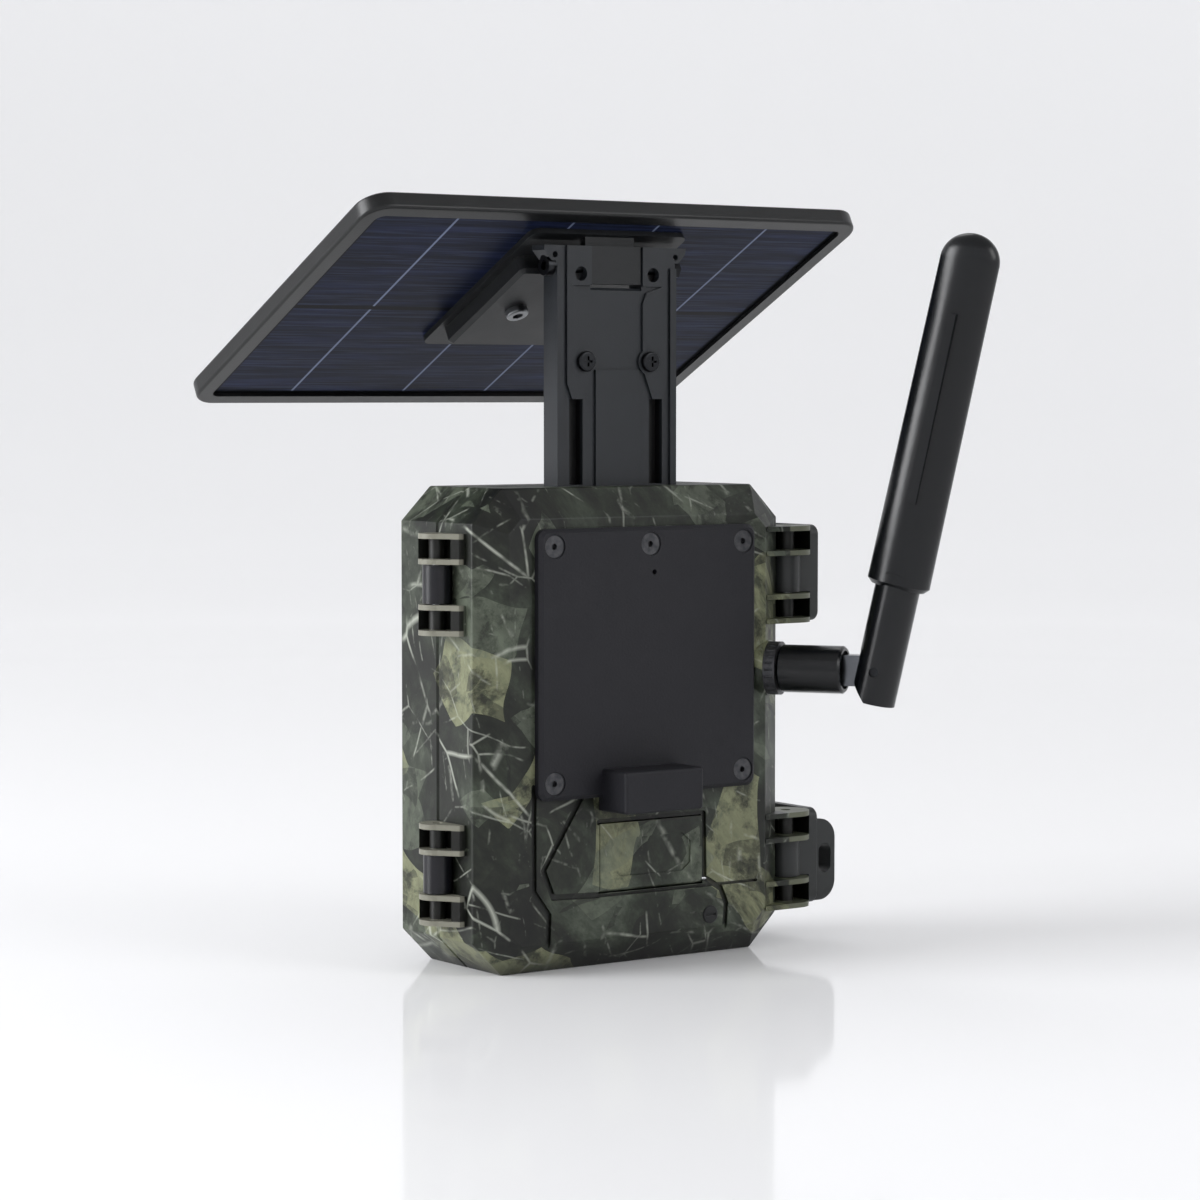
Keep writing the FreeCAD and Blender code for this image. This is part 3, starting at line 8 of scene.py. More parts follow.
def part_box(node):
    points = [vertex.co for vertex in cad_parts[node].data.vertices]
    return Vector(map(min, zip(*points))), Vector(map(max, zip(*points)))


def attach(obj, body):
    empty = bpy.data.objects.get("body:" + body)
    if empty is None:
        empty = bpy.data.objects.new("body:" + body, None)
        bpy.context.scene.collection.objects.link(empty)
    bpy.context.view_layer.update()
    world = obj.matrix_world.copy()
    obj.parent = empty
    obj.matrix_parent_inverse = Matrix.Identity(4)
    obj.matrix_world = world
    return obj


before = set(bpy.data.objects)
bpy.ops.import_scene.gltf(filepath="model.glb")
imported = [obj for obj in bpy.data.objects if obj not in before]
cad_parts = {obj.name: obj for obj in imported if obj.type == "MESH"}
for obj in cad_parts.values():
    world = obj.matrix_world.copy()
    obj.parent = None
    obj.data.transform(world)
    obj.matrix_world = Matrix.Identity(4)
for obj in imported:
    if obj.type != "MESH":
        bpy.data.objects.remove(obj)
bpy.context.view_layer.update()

bl_info = {
    "name": "Trail camera finishes",
    "version": (1, 0, 0),
    "blender": (4, 5, 0),
    "location": "3D View > Sidebar > Trail camera",
    "description": "Printed case, moulded fittings, solar laminate and small pieces for a trail camera",
    "category": "Object",
}

MM = 0.001
WALL_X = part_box("front_shell")[1][0]                # outer face of the hinge-side wall
REAR_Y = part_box("mounting_plate")[0][1]             # flat rear face that the plate lies on
INNER_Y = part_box("mode_switch")[1][1] - 0.7 * MM    # face of the inner panel
PANEL_TILT = math.radians(27.5)                     # slope of the solar panel at rest
PANEL_LOW, PANEL_HIGH = (Vector(c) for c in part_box("panel_cells"))
PANEL_MIDDLE = (PANEL_LOW + PANEL_HIGH) / 2

SHARE, FIRST, SECOND, MIXED = 0, 6, 7, 2            # sockets of a colour mix, whose names aren't its own
UPPER_LUGS_Z, HINGE_LUGS_Z, LATCH_LUGS_Z = 112.6 * MM, 29.3 * MM, 26.0 * MM     # hinge and latch middles
POCKET_APART, POCKET_HALF = 10.2 * MM, 2.7 * MM     # from there to a pocket painted dark as shade, and half a pocket's height
LOWEST_BUSBAR, INNER_BUSBAR = 55.5 * MM, 15.3 * MM  # busbars, from the panel's middle
PANEL_EDGES = (82.0 * MM, 53.0 * MM)                # half the silicon's width and length
MAST_SLOT_X, MAST_SLOT_HALF = 14.4 * MM, 2.6 * MM   # a long slot, from the mast's middle, and half its width


# ---- colours and nodes ----
def linear(code):
    """Turns an sRGB hex colour into linear red, green and blue."""
    parts = [int(code[i:i + 2], 16) / 255 for i in (1, 3, 5)]
    return tuple(p / 12.92 if p <= 0.04045 else ((p + 0.055) / 1.055) ** 2.4 for p in parts)


def fill(tree, node, inputs):
    """Fills a node's sockets with links, values or hex colours."""
    for socket, value in inputs.items():
        if isinstance(value, bpy.types.NodeSocket):
            tree.links.new(value, node.inputs[socket])
        else:
            node.inputs[socket].default_value = (*linear(value), 1) if isinstance(value, str) else value


def add(tree, kind, inputs, stops=(), out=0, **settings):
    """Adds a node with its settings, fills its sockets, and returns the output that is wanted of it.
    Stops are the places and tones of a colour ramp; a tone is a hex colour or a grey level."""
    made = tree.nodes.new("ShaderNode" + kind)
    for key, value in settings.items():
        setattr(made, key, value)
    fill(tree, made, inputs)
    while stops and len(made.color_ramp.elements) < len(stops):
        made.color_ramp.elements.new(0.5)
    for index, (place, tone) in enumerate(stops):
        made.color_ramp.elements[index].position = place
        made.color_ramp.elements[index].color = (*linear(tone), 1) if isinstance(tone,
                                                                                 str) else (*[tone] * 3, 1)
    return made.outputs[out]


def start(name, inputs):
    """A new material with its Principled shader set, and object coordinates to draw on."""
    made = bpy.data.materials.new(name)
    made.use_nodes = True
    shader = made.node_tree.nodes["Principled BSDF"]
    fill(made.node_tree, shader, inputs)
    return made, made.node_tree, shader, add(made.node_tree, "TexCoord", {}, out="Object")


def turned(*degrees):
    return [math.radians(angle) for angle in degrees]


def cover(material, *nodes):
    """Gives CAD pieces a material."""
    for name in nodes:
        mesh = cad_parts[name].data
        mesh.materials.clear()
        mesh.materials.append(material)


# ---- printed case ----
def leaf_film(tree, bent, film):
    """Soft-edged leaves in three tones over a mottled dark ground."""
    ground = add(tree, "Mapping", {"Vector": bent, "Rotation": turned(20, 35, 15), "Scale": (1, 1, 1 / 0.6)},
                 vector_type="TEXTURE")
    ground = add(tree, "TexNoise", {"Vector": ground, "Scale": 1 / (film.leaf_size * MM), "Detail": 6.0,
                                    "Roughness": 0.66})
    colour = add(tree, "ValToRGB", {0: ground}, ((0.34, "#080A07"), (0.43, "#12150F"), (0.50, "#1F241B"),
                                                 (0.57, "#31372D"), (0.67, "#4E5549")))
    for seed, size, squash, rare, share, tone in ((0.0, 0.95, 0.45, 0.84, 0.8, film.leaf),
                                                  (0.3, 0.8, 0.4, 0.72, 0.75, film.shadow),
                                                  (0.6, 0.55, 0.35, 0.80, 0.55, film.moss),
                                                  (0.9, 0.4, 0.35, 0.76, 0.6, film.shadow)):
        way = turned(40 + seed * 200, -30 - seed * 90, 30 + seed * 150)
        place = add(tree, "Mapping", {"Vector": bent, "Rotation": way, "Scale": (1, 1, 1 / squash)},
                    vector_type="TEXTURE")
        leaves = add(tree, "TexVoronoi", {"Vector": place, "Scale": 1 / (film.leaf_size * size * MM)},
                     out="Color")
        chosen = add(tree, "ValToRGB", {0: add(tree, "SeparateColor", {0: leaves})},
                     ((rare, 0.0), (rare + 0.02, share)))
        worn = add(tree, "TexNoise", {"Vector": bent, "Scale": 1 / (9 * size * MM), "Detail": 5.0,
                                      "Roughness": 0.7})
        worn = add(tree, "ValToRGB", {0: worn}, ((0.36, 0.15), (0.52, 1.0)))
        chosen = add(tree, "Math", {0: chosen, 1: worn}, operation="MULTIPLY")
        colour = add(tree, "Mix", {SHARE: chosen, FIRST: colour, SECOND: (*tone, 1)}, out=MIXED,
                     data_type="RGBA")
    return colour


def twig_lines(tree, where, bend, film):
    """Four sizes of thin broken lines, from 0 to the share of twig colour that they carry."""
    twigs = None
    for size, width, way, squash, cut, share in ((26, 0.020, (38, 40, 0), 0.07, 0.50, 0.9),
                                                 (20, 0.018, (-40, 44, 10), 0.08, 0.50, 0.7),
                                                 (15, 0.022, (30, 66, -10), 0.09, 0.51, 0.6),
                                                 (12, 0.024, (8, 12, 0), 0.09, 0.53, 0.5)):
        place = add(tree, "VectorMath", {0: bend, "Scale": 0.35}, operation="SCALE")
        place = add(tree, "VectorMath", {0: where, 1: place}, operation="ADD")
        place = add(tree, "Mapping", {"Vector": place, "Rotation": turned(*way),
                                      "Scale": (1, 1, 1 / squash)},
                    vector_type="TEXTURE")
        net = add(tree, "TexVoronoi", {"Vector": place, "Scale": 1 / (size * MM)},
                  feature="DISTANCE_TO_EDGE")
        line = add(tree, "ValToRGB", {0: net}, ((0.0, share), (width * film.twig_width, 0.0)))
        broken = add(tree, "TexNoise", {"Vector": where, "Scale": 1 / (size * 0.9 * MM), "Detail": 4.0,
                                        "Roughness": 0.65})
        broken = add(tree, "ValToRGB", {0: broken}, ((cut, 0.0), (cut + 0.10, 1.0)))
        line = add(tree, "Math", {0: line, 1: broken}, operation="MULTIPLY")
        twigs = add(tree, "Math", {0: line, 1: twigs}, operation="MAXIMUM") if twigs else line
    return add(tree, "Math", {0: twigs, 1: 0.78}, operation="MULTIPLY")


def groove_shade(tree, across, depth, height):
    """1 in the grooves of the rear face, whose colour is darkened there as painted shade, and 0 everywhere
    else.
    """
    inside = None
    for value, none, full in ((depth, REAR_Y - 0.2 * MM, REAR_Y - 0.5 * MM),
                              (depth, REAR_Y - 2.0 * MM, REAR_Y - 1.6 * MM),
                              (across, 45.8 * MM, 45.4 * MM),
                              (across, -45.8 * MM, -45.4 * MM),
                              (height, 8.6 * MM, 9.2 * MM),
                              (height, 131.0 * MM, 130.4 * MM)):
        part = add(tree, "MapRange", {"Value": value, "From Min": none, "From Max": full})
        inside = add(tree, "Math", {0: inside, 1: part}, operation="MULTIPLY") if inside else part
    return inside


def lug_colour_with_pocket_shade(tree, height, middles, plate):
    """The plain lugs at the hinges or latches, with painted shade in the two pockets at each of them."""
    nearest = None
    for middle in middles:
        away = add(tree, "Math", {0: height, 1: middle}, operation="SUBTRACT")
        away = add(tree, "Math", {0: away}, operation="ABSOLUTE")
        nearest = add(tree, "Math", {0: away, 1: nearest}, operation="MINIMUM") if nearest else away
    # Painted shade: the pockets between the lug plates are coloured near black.
    away = add(tree, "Math", {0: nearest, 1: POCKET_APART}, operation="SUBTRACT")
    away = add(tree, "Math", {0: away}, operation="ABSOLUTE")
    share = add(tree, "MapRange", {"Value": away, "From Min": POCKET_HALF,
                                   "From Max": POCKET_HALF + 0.3 * MM})
    return add(tree, "Mix", {SHARE: share, FIRST: "#0E0F0B", SECOND: plate}, out=MIXED, data_type="RGBA")


def printed_abs(name, film, shaded=True):
    """ABS case, moulded with a light spark-eroded grain and dip-printed with a woodland film under a satin
    lacquer. The film gives soft leaf shapes crossed by thin pale twigs; the lacquer gives a broad, weak
    highlight."""
    made, tree, shader, where = start(name, {"IOR": 1.46, "Specular IOR Level": 0.4})
    bend = add(tree, "TexNoise", {"Vector": where, "Scale": 1 / (48 * MM), "Detail": 2.0}, out="Color")
    bend = add(tree, "VectorMath", {0: bend, 1: (0.5, 0.5, 0.5)}, operation="SUBTRACT")
    bend = add(tree, "VectorMath", {0: bend, "Scale": 30 * MM}, operation="SCALE")
    bent = add(tree, "VectorMath", {0: where, 1: bend}, operation="ADD")
    colour = leaf_film(tree, bent, film)

    fine = add(tree, "Mapping", {"Vector": where, "Rotation": turned(30, 20, 50), "Scale": (1, 1, 1 / 0.35)},
               vector_type="TEXTURE")
    fine = add(tree, "TexNoise", {"Vector": fine, "Scale": 1 / (3.5 * MM), "Detail": 5.0, "Roughness": 0.7})
    fine = add(tree, "ValToRGB", {0: fine}, ((0.35, 0.36), (0.65, 0.62)))
    colour = add(tree, "Mix", {SHARE: 0.8, FIRST: colour, SECOND: fine}, out=MIXED, data_type="RGBA",
                 blend_type="OVERLAY")
    twigs = twig_lines(tree, where, bend, film)
    colour = add(tree, "Mix", {SHARE: twigs, FIRST: colour, SECOND: (*film.twig, 1)}, out=MIXED,
                 data_type="RGBA")

    across, depth, height = add(tree, "SeparateXYZ", {0: where}).node.outputs
    # Painted shade: the case's colour darkens towards its bottom edge, below 7 mm, where it stands near the
    # floor.
    foot = add(tree, "MapRange", {"Value": height, "From Min": 7.0 * MM, "From Max": 0.5 * MM})
    hinge = add(tree, "MapRange", {"Value": across, "From Min": WALL_X + 0.4 * MM,
                                   "From Max": WALL_X + 0.9 * MM})
    latch = add(tree, "MapRange", {"Value": across, "From Min": -WALL_X - 0.4 * MM,
                                   "From Max": -WALL_X - 0.9 * MM})
    shades = [(add(tree, "Math", {0: foot, 1: 0.8}, operation="MULTIPLY"), "#0A0B08"),
              (hinge, lug_colour_with_pocket_shade(tree, height, (UPPER_LUGS_Z, HINGE_LUGS_Z), "#77766A")),
              (latch, lug_colour_with_pocket_shade(tree, height, (UPPER_LUGS_Z, LATCH_LUGS_Z), "#5C5F4F"))]
    if shaded:
        # Painted shade: the grooves of the rear face are coloured near black.
        inside = groove_shade(tree, across, depth, height)
        shades.insert(0, (add(tree, "Math", {0: inside, 1: 0.85}, operation="MULTIPLY"), "#080906"))
    for share, tone in shades:
        colour = add(tree, "Mix", {SHARE: share, FIRST: colour, SECOND: tone}, out=MIXED, data_type="RGBA")

    grain = add(tree, "TexNoise", {"Vector": where, "Scale": 1 / (0.45 * MM), "Detail": 2.0})
    wear = add(tree, "TexNoise", {"Vector": where, "Scale": 1 / (7 * MM), "Detail": 3.0})
    fill(tree, shader, {
        "Base Color": colour,
        "Roughness": add(tree, "MapRange", {"Value": wear, "To Min": 0.34, "To Max": 0.50}),
        "Normal": add(tree, "Bump", {"Strength": 0.5, "Distance": 0.03 * MM, "Height": grain})})
    return made


# ---- plastics, metals and rubber ----
def slot_shade(tree, where):
    """1 down in the two long slots of the mast, which are painted dark as shade, and 0 everywhere else."""
    low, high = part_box("mast")
    across, depth, _ = add(tree, "SeparateXYZ", {0: where}).node.outputs
    down = add(tree, "MapRange", {"Value": depth, "From Min": high[1] - 1.9 * MM,
                                  "From Max": high[1] - 2.4 * MM})
    near = add(tree, "Math", {0: depth, 1: high[1] - 5.0 * MM}, operation="GREATER_THAN")
    side = add(tree, "Math", {0: across, 1: (low[0] + high[0]) / 2}, operation="SUBTRACT")
    side = add(tree, "Math", {0: side}, operation="ABSOLUTE")
    side = add(tree, "Math", {0: side, 1: MAST_SLOT_X, 2: MAST_SLOT_HALF}, operation="COMPARE")
    painted_slot_shade = add(tree, "Math", {0: down, 1: near}, operation="MULTIPLY")
    return add(tree, "Math", {0: painted_slot_shade, 1: side}, operation="MULTIPLY")


def moulded_nylon(name, code, grain_mm=0.5, gloss=0.45, slots=False):
    """Glass-filled nylon from a textured mould: near black, with a fine grain and slightly cloudy gloss."""
    made, tree, shader, where = start(name, {"IOR": 1.53, "Specular IOR Level": 0.34})
    cloud = add(tree, "TexNoise", {"Vector": where, "Scale": 1 / (9 * MM), "Detail": 4.0})
    grain = add(tree, "TexNoise", {"Vector": where, "Scale": 1 / (grain_mm * MM), "Detail": 2.0})
    patches = add(tree, "ValToRGB", {0: cloud}, ((0.3, 0.42), (0.7, 0.58)))
    colour = add(tree, "Mix", {SHARE: 0.5, FIRST: code, SECOND: patches}, out=MIXED, data_type="RGBA",
                 blend_type="OVERLAY")
    # Painted shade: the mast's two long slots are coloured near black down inside them.
    if slots:
        painted_slot_shade = slot_shade(tree, where)
        colour = add(tree, "Mix", {SHARE: painted_slot_shade, FIRST: colour, SECOND: "#040404"}, out=MIXED,
                     data_type="RGBA")
    fill(tree, shader, {
        "Base Color": colour,
        "Roughness": add(tree, "MapRange", {"Value": cloud, "To Min": gloss - 0.06, "To Max": gloss + 0.06}),
        "Normal": add(tree, "Bump", {"Strength": 0.6, "Distance": 0.04 * MM, "Height": grain})})
    return made


def powder_coat(name, code):
    """Powder coat, baked on aluminium: charcoal, with the dense pinhead texture that powder leaves."""
    made, tree, shader, where = start(name, {"IOR": 1.5, "Specular IOR Level": 0.3})
    pins = add(tree, "TexVoronoi", {"Vector": where, "Scale": 1 / (0.7 * MM)}, feature="SMOOTH_F1")
    fleck = add(tree, "TexNoise", {"Vector": where, "Scale": 1 / (0.6 * MM), "Detail": 2.0})
    fleck = add(tree, "ValToRGB", {0: fleck}, ((0.35, 0.44), (0.65, 0.56)))
    sheen = add(tree, "TexNoise", {"Vector": where, "Scale": 1 / (14 * MM), "Detail": 3.0})
    fill(tree, shader, {
        "Base Color": add(tree, "Mix", {SHARE: 0.6, FIRST: code, SECOND: fleck}, out=MIXED, data_type="RGBA",
                          blend_type="OVERLAY"),
        "Roughness": add(tree, "MapRange", {"Value": sheen, "To Min": 0.50, "To Max": 0.62}),
        "Normal": add(tree, "Bump", {"Strength": 0.5, "Distance": 0.08 * MM, "Height": pins})})
    return made


def turned_metal(name, code, rough_low, rough_high):
    """Turned bar stock: fine tool rings across the axis break the highlight into bands."""
    made, tree, shader, where = start(name, {"Metallic": 1.0})
    marks = add(tree, "Mapping", {"Vector": where, "Scale": (1 / 0.2, 1 / 0.2, 1)}, vector_type="TEXTURE")
    marks = add(tree, "TexNoise", {"Vector": marks, "Scale": 1 / (0.3 * MM), "Detail": 2.0})
    cloud = add(tree, "TexNoise", {"Vector": where, "Scale": 1 / (3 * MM), "Detail": 3.0})
    cloud = add(tree, "ValToRGB", {0: cloud}, ((0.3, 0.4), (0.7, 0.6)))
    fill(tree, shader, {
        "Base Color": add(tree, "Mix", {SHARE: 0.35, FIRST: code, SECOND: cloud}, out=MIXED,
                          data_type="RGBA",
                          blend_type="OVERLAY"),
        "Roughness": add(tree, "MapRange", {"Value": marks, "To Min": rough_low, "To Max": rough_high}),
        "Normal": add(tree, "Bump", {"Strength": 0.4, "Distance": 0.01 * MM, "Height": marks})})
    return made


def black_oxide():
    """Black-oxide steel: a thin dark oxide over ground metal, with a little brown where it is thinnest."""
    made, tree, shader, where = start("black_oxide_steel", {"Metallic": 0.75})
    patches = add(tree, "TexNoise", {"Vector": where, "Scale": 1 / (1.6 * MM), "Detail": 3.0})
    grain = add(tree, "TexNoise", {"Vector": where, "Scale": 1 / (0.35 * MM), "Detail": 3.0})
    fill(tree, shader, {
        "Base Color": add(tree, "ValToRGB", {0: patches}, ((0.35, "#3A3B3E"), (0.7, "#505052"))),
        "Roughness": add(tree, "MapRange", {"Value": patches, "To Min": 0.30, "To Max": 0.46}),
        "Normal": add(tree, "Bump", {"Strength": 0.4, "Distance": 0.01 * MM, "Height": grain})})
    return made


def silicone(name, code):
    """Moulded silicone rubber: matt, with a faint dusty bloom."""
    made, tree, shader, where = start(name, {"IOR": 1.41, "Sheen Weight": 0.15})
    bloom = add(tree, "TexNoise", {"Vector": where, "Scale": 1 / (4 * MM), "Detail": 4.0})
    dust = add(tree, "ValToRGB", {0: bloom}, ((0.35, 0.45), (0.7, 0.58)))
    grain = add(tree, "TexNoise", {"Vector": where, "Scale": 1 / (0.6 * MM), "Detail": 3.0})
    fill(tree, shader, {
        "Base Color": add(tree, "Mix", {SHARE: 0.5, FIRST: code, SECOND: dust}, out=MIXED, data_type="RGBA",
                          blend_type="OVERLAY"),
        "Roughness": add(tree, "MapRange", {"Value": bloom, "To Min": 0.66, "To Max": 0.8}),
        "Normal": add(tree, "Bump", {"Strength": 0.4, "Distance": 0.02 * MM, "Height": grain})})
    return made


def clear_glass(name, ior=1.52):
    """Polished float glass, with the faint smears that handling leaves."""
    made, tree, shader, where = start(name, {"IOR": ior, "Transmission Weight": 1.0,
                                             "Base Color": (0.96, 0.98, 0.98, 1)})
    smear = add(tree, "Mapping", {"Vector": where, "Rotation": turned(0, 0, 30), "Scale": (1, 1 / 3, 1)},
                vector_type="TEXTURE")
    smear = add(tree, "TexNoise", {"Vector": smear, "Scale": 1 / (12 * MM), "Detail": 4.0})
    fill(tree, shader, {"Roughness": add(tree, "MapRange", {"Value": smear, "To Min": 0.0, "To Max": 0.05})})
    return made


def dark_window():
    """Infrared-pass polycarbonate: black to the eye with a wine tint, and polished."""
    made, tree, shader, where = start("infrared_polycarbonate", {"IOR": 1.58})
    tint = add(tree, "TexNoise", {"Vector": where, "Scale": 1 / (20 * MM), "Detail": 3.0})
    haze = add(tree, "TexNoise", {"Vector": where, "Scale": 1 / (8 * MM), "Detail": 3.0})
    fill(tree, shader, {
        "Base Color": add(tree, "ValToRGB", {0: tint}, ((0.3, "#0B070A"), (0.7, "#170D12"))),
        "Roughness": add(tree, "MapRange", {"Value": haze, "To Min": 0.06, "To Max": 0.12})})
    return made


def fresnel_sheet():
    """Milky polyethylene pressed with rows of ring lenses, which show as fine ribs."""
    made, tree, shader, where = start("milky_polyethylene", {
        "IOR": 1.51, "Roughness": 0.38, "Subsurface Weight": 0.3, "Subsurface Radius": (2 * MM, 2 * MM,
                                                                                        2 * MM)})
    ribs = add(tree, "TexWave", {"Vector": where, "Scale": 1 / (20 * 1.4 * MM), "Distortion": 0.0},
               out="Fac",
               bands_direction="Z")
    fill(tree, shader, {
        "Base Color": add(tree, "ValToRGB", {0: ribs}, ((0.0, "#D3D4CF"), (1.0, "#E9E9E4"))),
        "Normal": add(tree, "Bump", {"Strength": 0.6, "Distance": 0.15 * MM, "Height": ribs})})
    return made


def circuit_board(name):
    """Glass-epoxy board under green solder mask, with copper tracks just showing through."""
    made, tree, shader, where = start(name, {"IOR": 1.5, "Roughness": 0.3})
    place = add(tree, "Mapping", {"Vector": where, "Rotation": turned(90, 0, 0)}, vector_type="TEXTURE")
    tracks = add(tree, "TexBrick", {"Vector": place, "Scale": 1 / (9 * MM), "Mortar Size": 0.05}, out="Fac")
    fill(tree, shader, {
        "Base Color": add(tree, "Mix", {SHARE: tracks, FIRST: "#0C3A1E", SECOND: "#1B5A33"}, out=MIXED,
                          data_type="RGBA"),
        "Normal": add(tree, "Bump", {"Strength": 0.5, "Distance": 0.03 * MM, "Height": tracks})})
    return made


def cell_sleeve():
    """Shrink sleeve on battery cells: satin grey film with a copper band and a bare end at the top."""
    made, tree, shader, where = start("shrink_sleeve", {"IOR": 1.5, "Roughness": 0.35})
    low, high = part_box("battery_cells")
    height = add(tree, "SeparateXYZ", {0: where}, out="Z")
    along = add(tree, "MapRange", {"Value": height, "From Min": low[2], "From Max": high[2]})
    bands = add(tree, "ValToRGB", {0: along}, ((0.0, "#4E565C"), (0.78, "#A8713C"), (0.97, "#B9BBBC")))
    bands.node.color_ramp.interpolation = "CONSTANT"
    grain = add(tree, "TexNoise", {"Vector": where, "Scale": 1 / (1.2 * MM), "Detail": 3.0})
    fill(tree, shader, {
        "Base Color": bands,
        "Normal": add(tree, "Bump", {"Strength": 0.4, "Distance": 0.02 * MM, "Height": grain})})
    return made


def display_glass():
    """Cover glass over a screen that is off: near black and polished."""
    made, tree, shader, where = start("display_glass", {"IOR": 1.5, "Roughness": 0.12})
    tint = add(tree, "TexNoise", {"Vector": where, "Scale": 1 / (30 * MM), "Detail": 3.0})
    fill(tree, shader, {"Base Color": add(tree, "ValToRGB", {0: tint},
                                          ((0.3, "#0A0C0E"), (0.7, "#14181B")))})
    return made


# ---- solar laminate ----
def busbars(tree, across, half_width):
    """0.75 on the four busbars, and 0 between them."""
    bars = None
    for position in (-LOWEST_BUSBAR, -INNER_BUSBAR, INNER_BUSBAR, LOWEST_BUSBAR):
        away = add(tree, "Math", {0: across, 1: position}, operation="SUBTRACT")
        away = add(tree, "Math", {0: away}, operation="ABSOLUTE")
        bar = add(tree, "MapRange", {"Value": away, "From Min": half_width, "From Max": half_width * 0.7,
                                     "To Max": 0.75})
        bars = add(tree, "Math", {0: bar, 1: bars}, operation="MAXIMUM") if bars else bar
    return bars


def silicon_strip(name, laminate):
    """Cut silicon strips: blue-black, with hair-fine printed silver fingers along them and four busbars
    across. The fingers are drawn coarser than the real 0.1 mm so that they still show."""
    made, tree, shader, where = start(name, {"IOR": 1.18, "Specular IOR Level": 0.2, "Coat Weight": 0.0,
                                             "Coat Roughness": 0.06, "Roughness": 0.3})
    flat = add(tree, "VectorMath", {0: where, 1: tuple(PANEL_MIDDLE)}, operation="SUBTRACT")
    flat = add(tree, "VectorRotate", {"Vector": flat, "Angle": -PANEL_TILT}, rotation_type="X_AXIS")
    across, along, _ = add(tree, "SeparateXYZ", {0: flat}).node.outputs
    cloud = add(tree, "Mapping", {"Vector": flat, "Scale": (1 / 0.3, 1 / 4, 1)}, vector_type="TEXTURE")
    cloud = add(tree, "TexNoise", {"Vector": cloud, "Scale": 1 / (16 * MM), "Detail": 5.0, "Roughness": 0.6})
    colour = add(tree, "ValToRGB", {0: cloud}, ((0.3, "#0A0D19"), (0.5, "#121729"), (0.7, "#1E2540")))
    streak = add(tree, "Mapping", {"Vector": flat, "Scale": (1 / 0.02, 1, 1)}, vector_type="TEXTURE")
    streak = add(tree, "TexNoise", {"Vector": streak, "Scale": 1 / (laminate.finger_pitch * 0.9 * MM),
                                    "Detail": 3.0, "Roughness": 0.7})
    middle = add(tree, "Math", {0: along}, operation="ABSOLUTE")
    shades = [(add(tree, "ValToRGB", {0: streak}, ((0.50, 0.0), (0.62, 0.24))), (*laminate.finger, 1)),
              (busbars(tree, across, laminate.busbar * MM), "#7C86A0"),
              (add(tree, "MapRange", {"Value": middle, "From Min": 1.2 * MM, "From Max": 0.9 * MM}),
               "#07080D")]
    for half, socket in zip(PANEL_EDGES, (across, along)):
        edge = add(tree, "Math", {0: socket}, operation="ABSOLUTE")
        edge = add(tree, "MapRange", {"Value": edge, "From Min": half - 0.6 * MM, "From Max": half})
        shades.append((edge, "#08090C"))
    for share, tone in shades:
        colour = add(tree, "Mix", {SHARE: share, FIRST: colour, SECOND: tone}, out=MIXED, data_type="RGBA")
    fill(tree, shader, {
        "Base Color": colour,
        "Normal": add(tree, "Bump", {"Strength": 0.3, "Distance": 0.02 * MM, "Height": streak})})
    return made


# ---- mesh helpers ----
def piece(name, build, body, material):
    """Builds a new piece in its final place from a function that fills a bmesh."""
    mesh = bpy.data.meshes.new(name)
    shape = bmesh.new()
    build(shape)
    bmesh.ops.remove_doubles(shape, verts=shape.verts, dist=1e-7)
    bmesh.ops.recalc_face_normals(shape, faces=shape.faces)
    shape.to_mesh(mesh)
    shape.free()
    made = bpy.data.objects.new(name, mesh)
    bpy.context.scene.collection.objects.link(made)
    mesh.materials.append(material)
    for face in mesh.polygons:
        face.use_smooth = True
    if body:
        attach(made, body)
    return made


def centre(node):
    low, high = (Vector(c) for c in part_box(node))
    return (low + high) / 2


def pan_head(shape, where, radius, height):
    """A domed screw head facing +Y, with a cross standing just proud of its top."""
    turn = Matrix.Translation(where) @ Matrix.Rotation(math.radians(-90), 4, "X")
    made = bmesh.ops.create_cone(shape, cap_ends=True, segments=32, radius1=radius, radius2=radius,
                                 depth=height, matrix=turn)
    top = max(made["verts"], key=lambda v: v.co.y).co.y
    rim = [e for e in shape.edges if all(abs(v.co.y - top) < 1e-7 and (v.co - where).length < radius * 1.5
                                         for v in e.verts)]
    bmesh.ops.bevel(shape, geom=rim, offset=height * 0.45, offset_type="OFFSET", segments=4, affect="EDGES",
                    profile=0.5, material=-1)
    for angle in (0, 90):
        spin = Matrix.Translation(where + Vector((0, height * 0.5, 0)))
        spin = spin @ Matrix.Rotation(math.radians(angle), 4, "Y")
        bar = bmesh.ops.create_cube(shape, size=1, matrix=spin @ Matrix.Diagonal((radius * 1.1, height * 0.1,
                                                                                 radius * 0.22, 1)))
        bmesh.ops.translate(shape, verts=bar["verts"], vec=(0, height * 0.02, 0))


# ---- stage ----
def studio_paper(studio):
    """Satin-laminated backdrop paper: nearly white, with a soft mirror of what stands on it.
    It is lit from behind, away from the object, so that its far side stays as pale as its foot."""
    made, tree, shader, where = start("studio_floor", {"IOR": 1.14, "Emission Color": "#F6F7FA"})
    tint = add(tree, "TexNoise", {"Vector": where, "Scale": 1 / (900 * MM), "Detail": 1.0})
    share = add(tree, "ValToRGB", {0: tint}, ((0.3, 0.0), (0.7, 0.12)))
    reach = add(tree, "VectorMath", {0: where}, out="Value", operation="LENGTH")
    fill(tree, shader, {
        "Base Color": add(tree, "Mix", {SHARE: share, FIRST: (*studio.floor, 1), SECOND: "#EDEDEE"},
                          out=MIXED, data_type="RGBA"),
        "Roughness": add(tree, "MapRange", {"Value": tint, "To Min": 0.06, "To Max": 0.1}),
        "Emission Strength": add(tree, "MapRange", {"Value": reach, "From Min": 0.2, "From Max": 4.5,
                                                    "To Max": studio.backlight},
                                 interpolation_type="SMOOTHSTEP")})
    return made


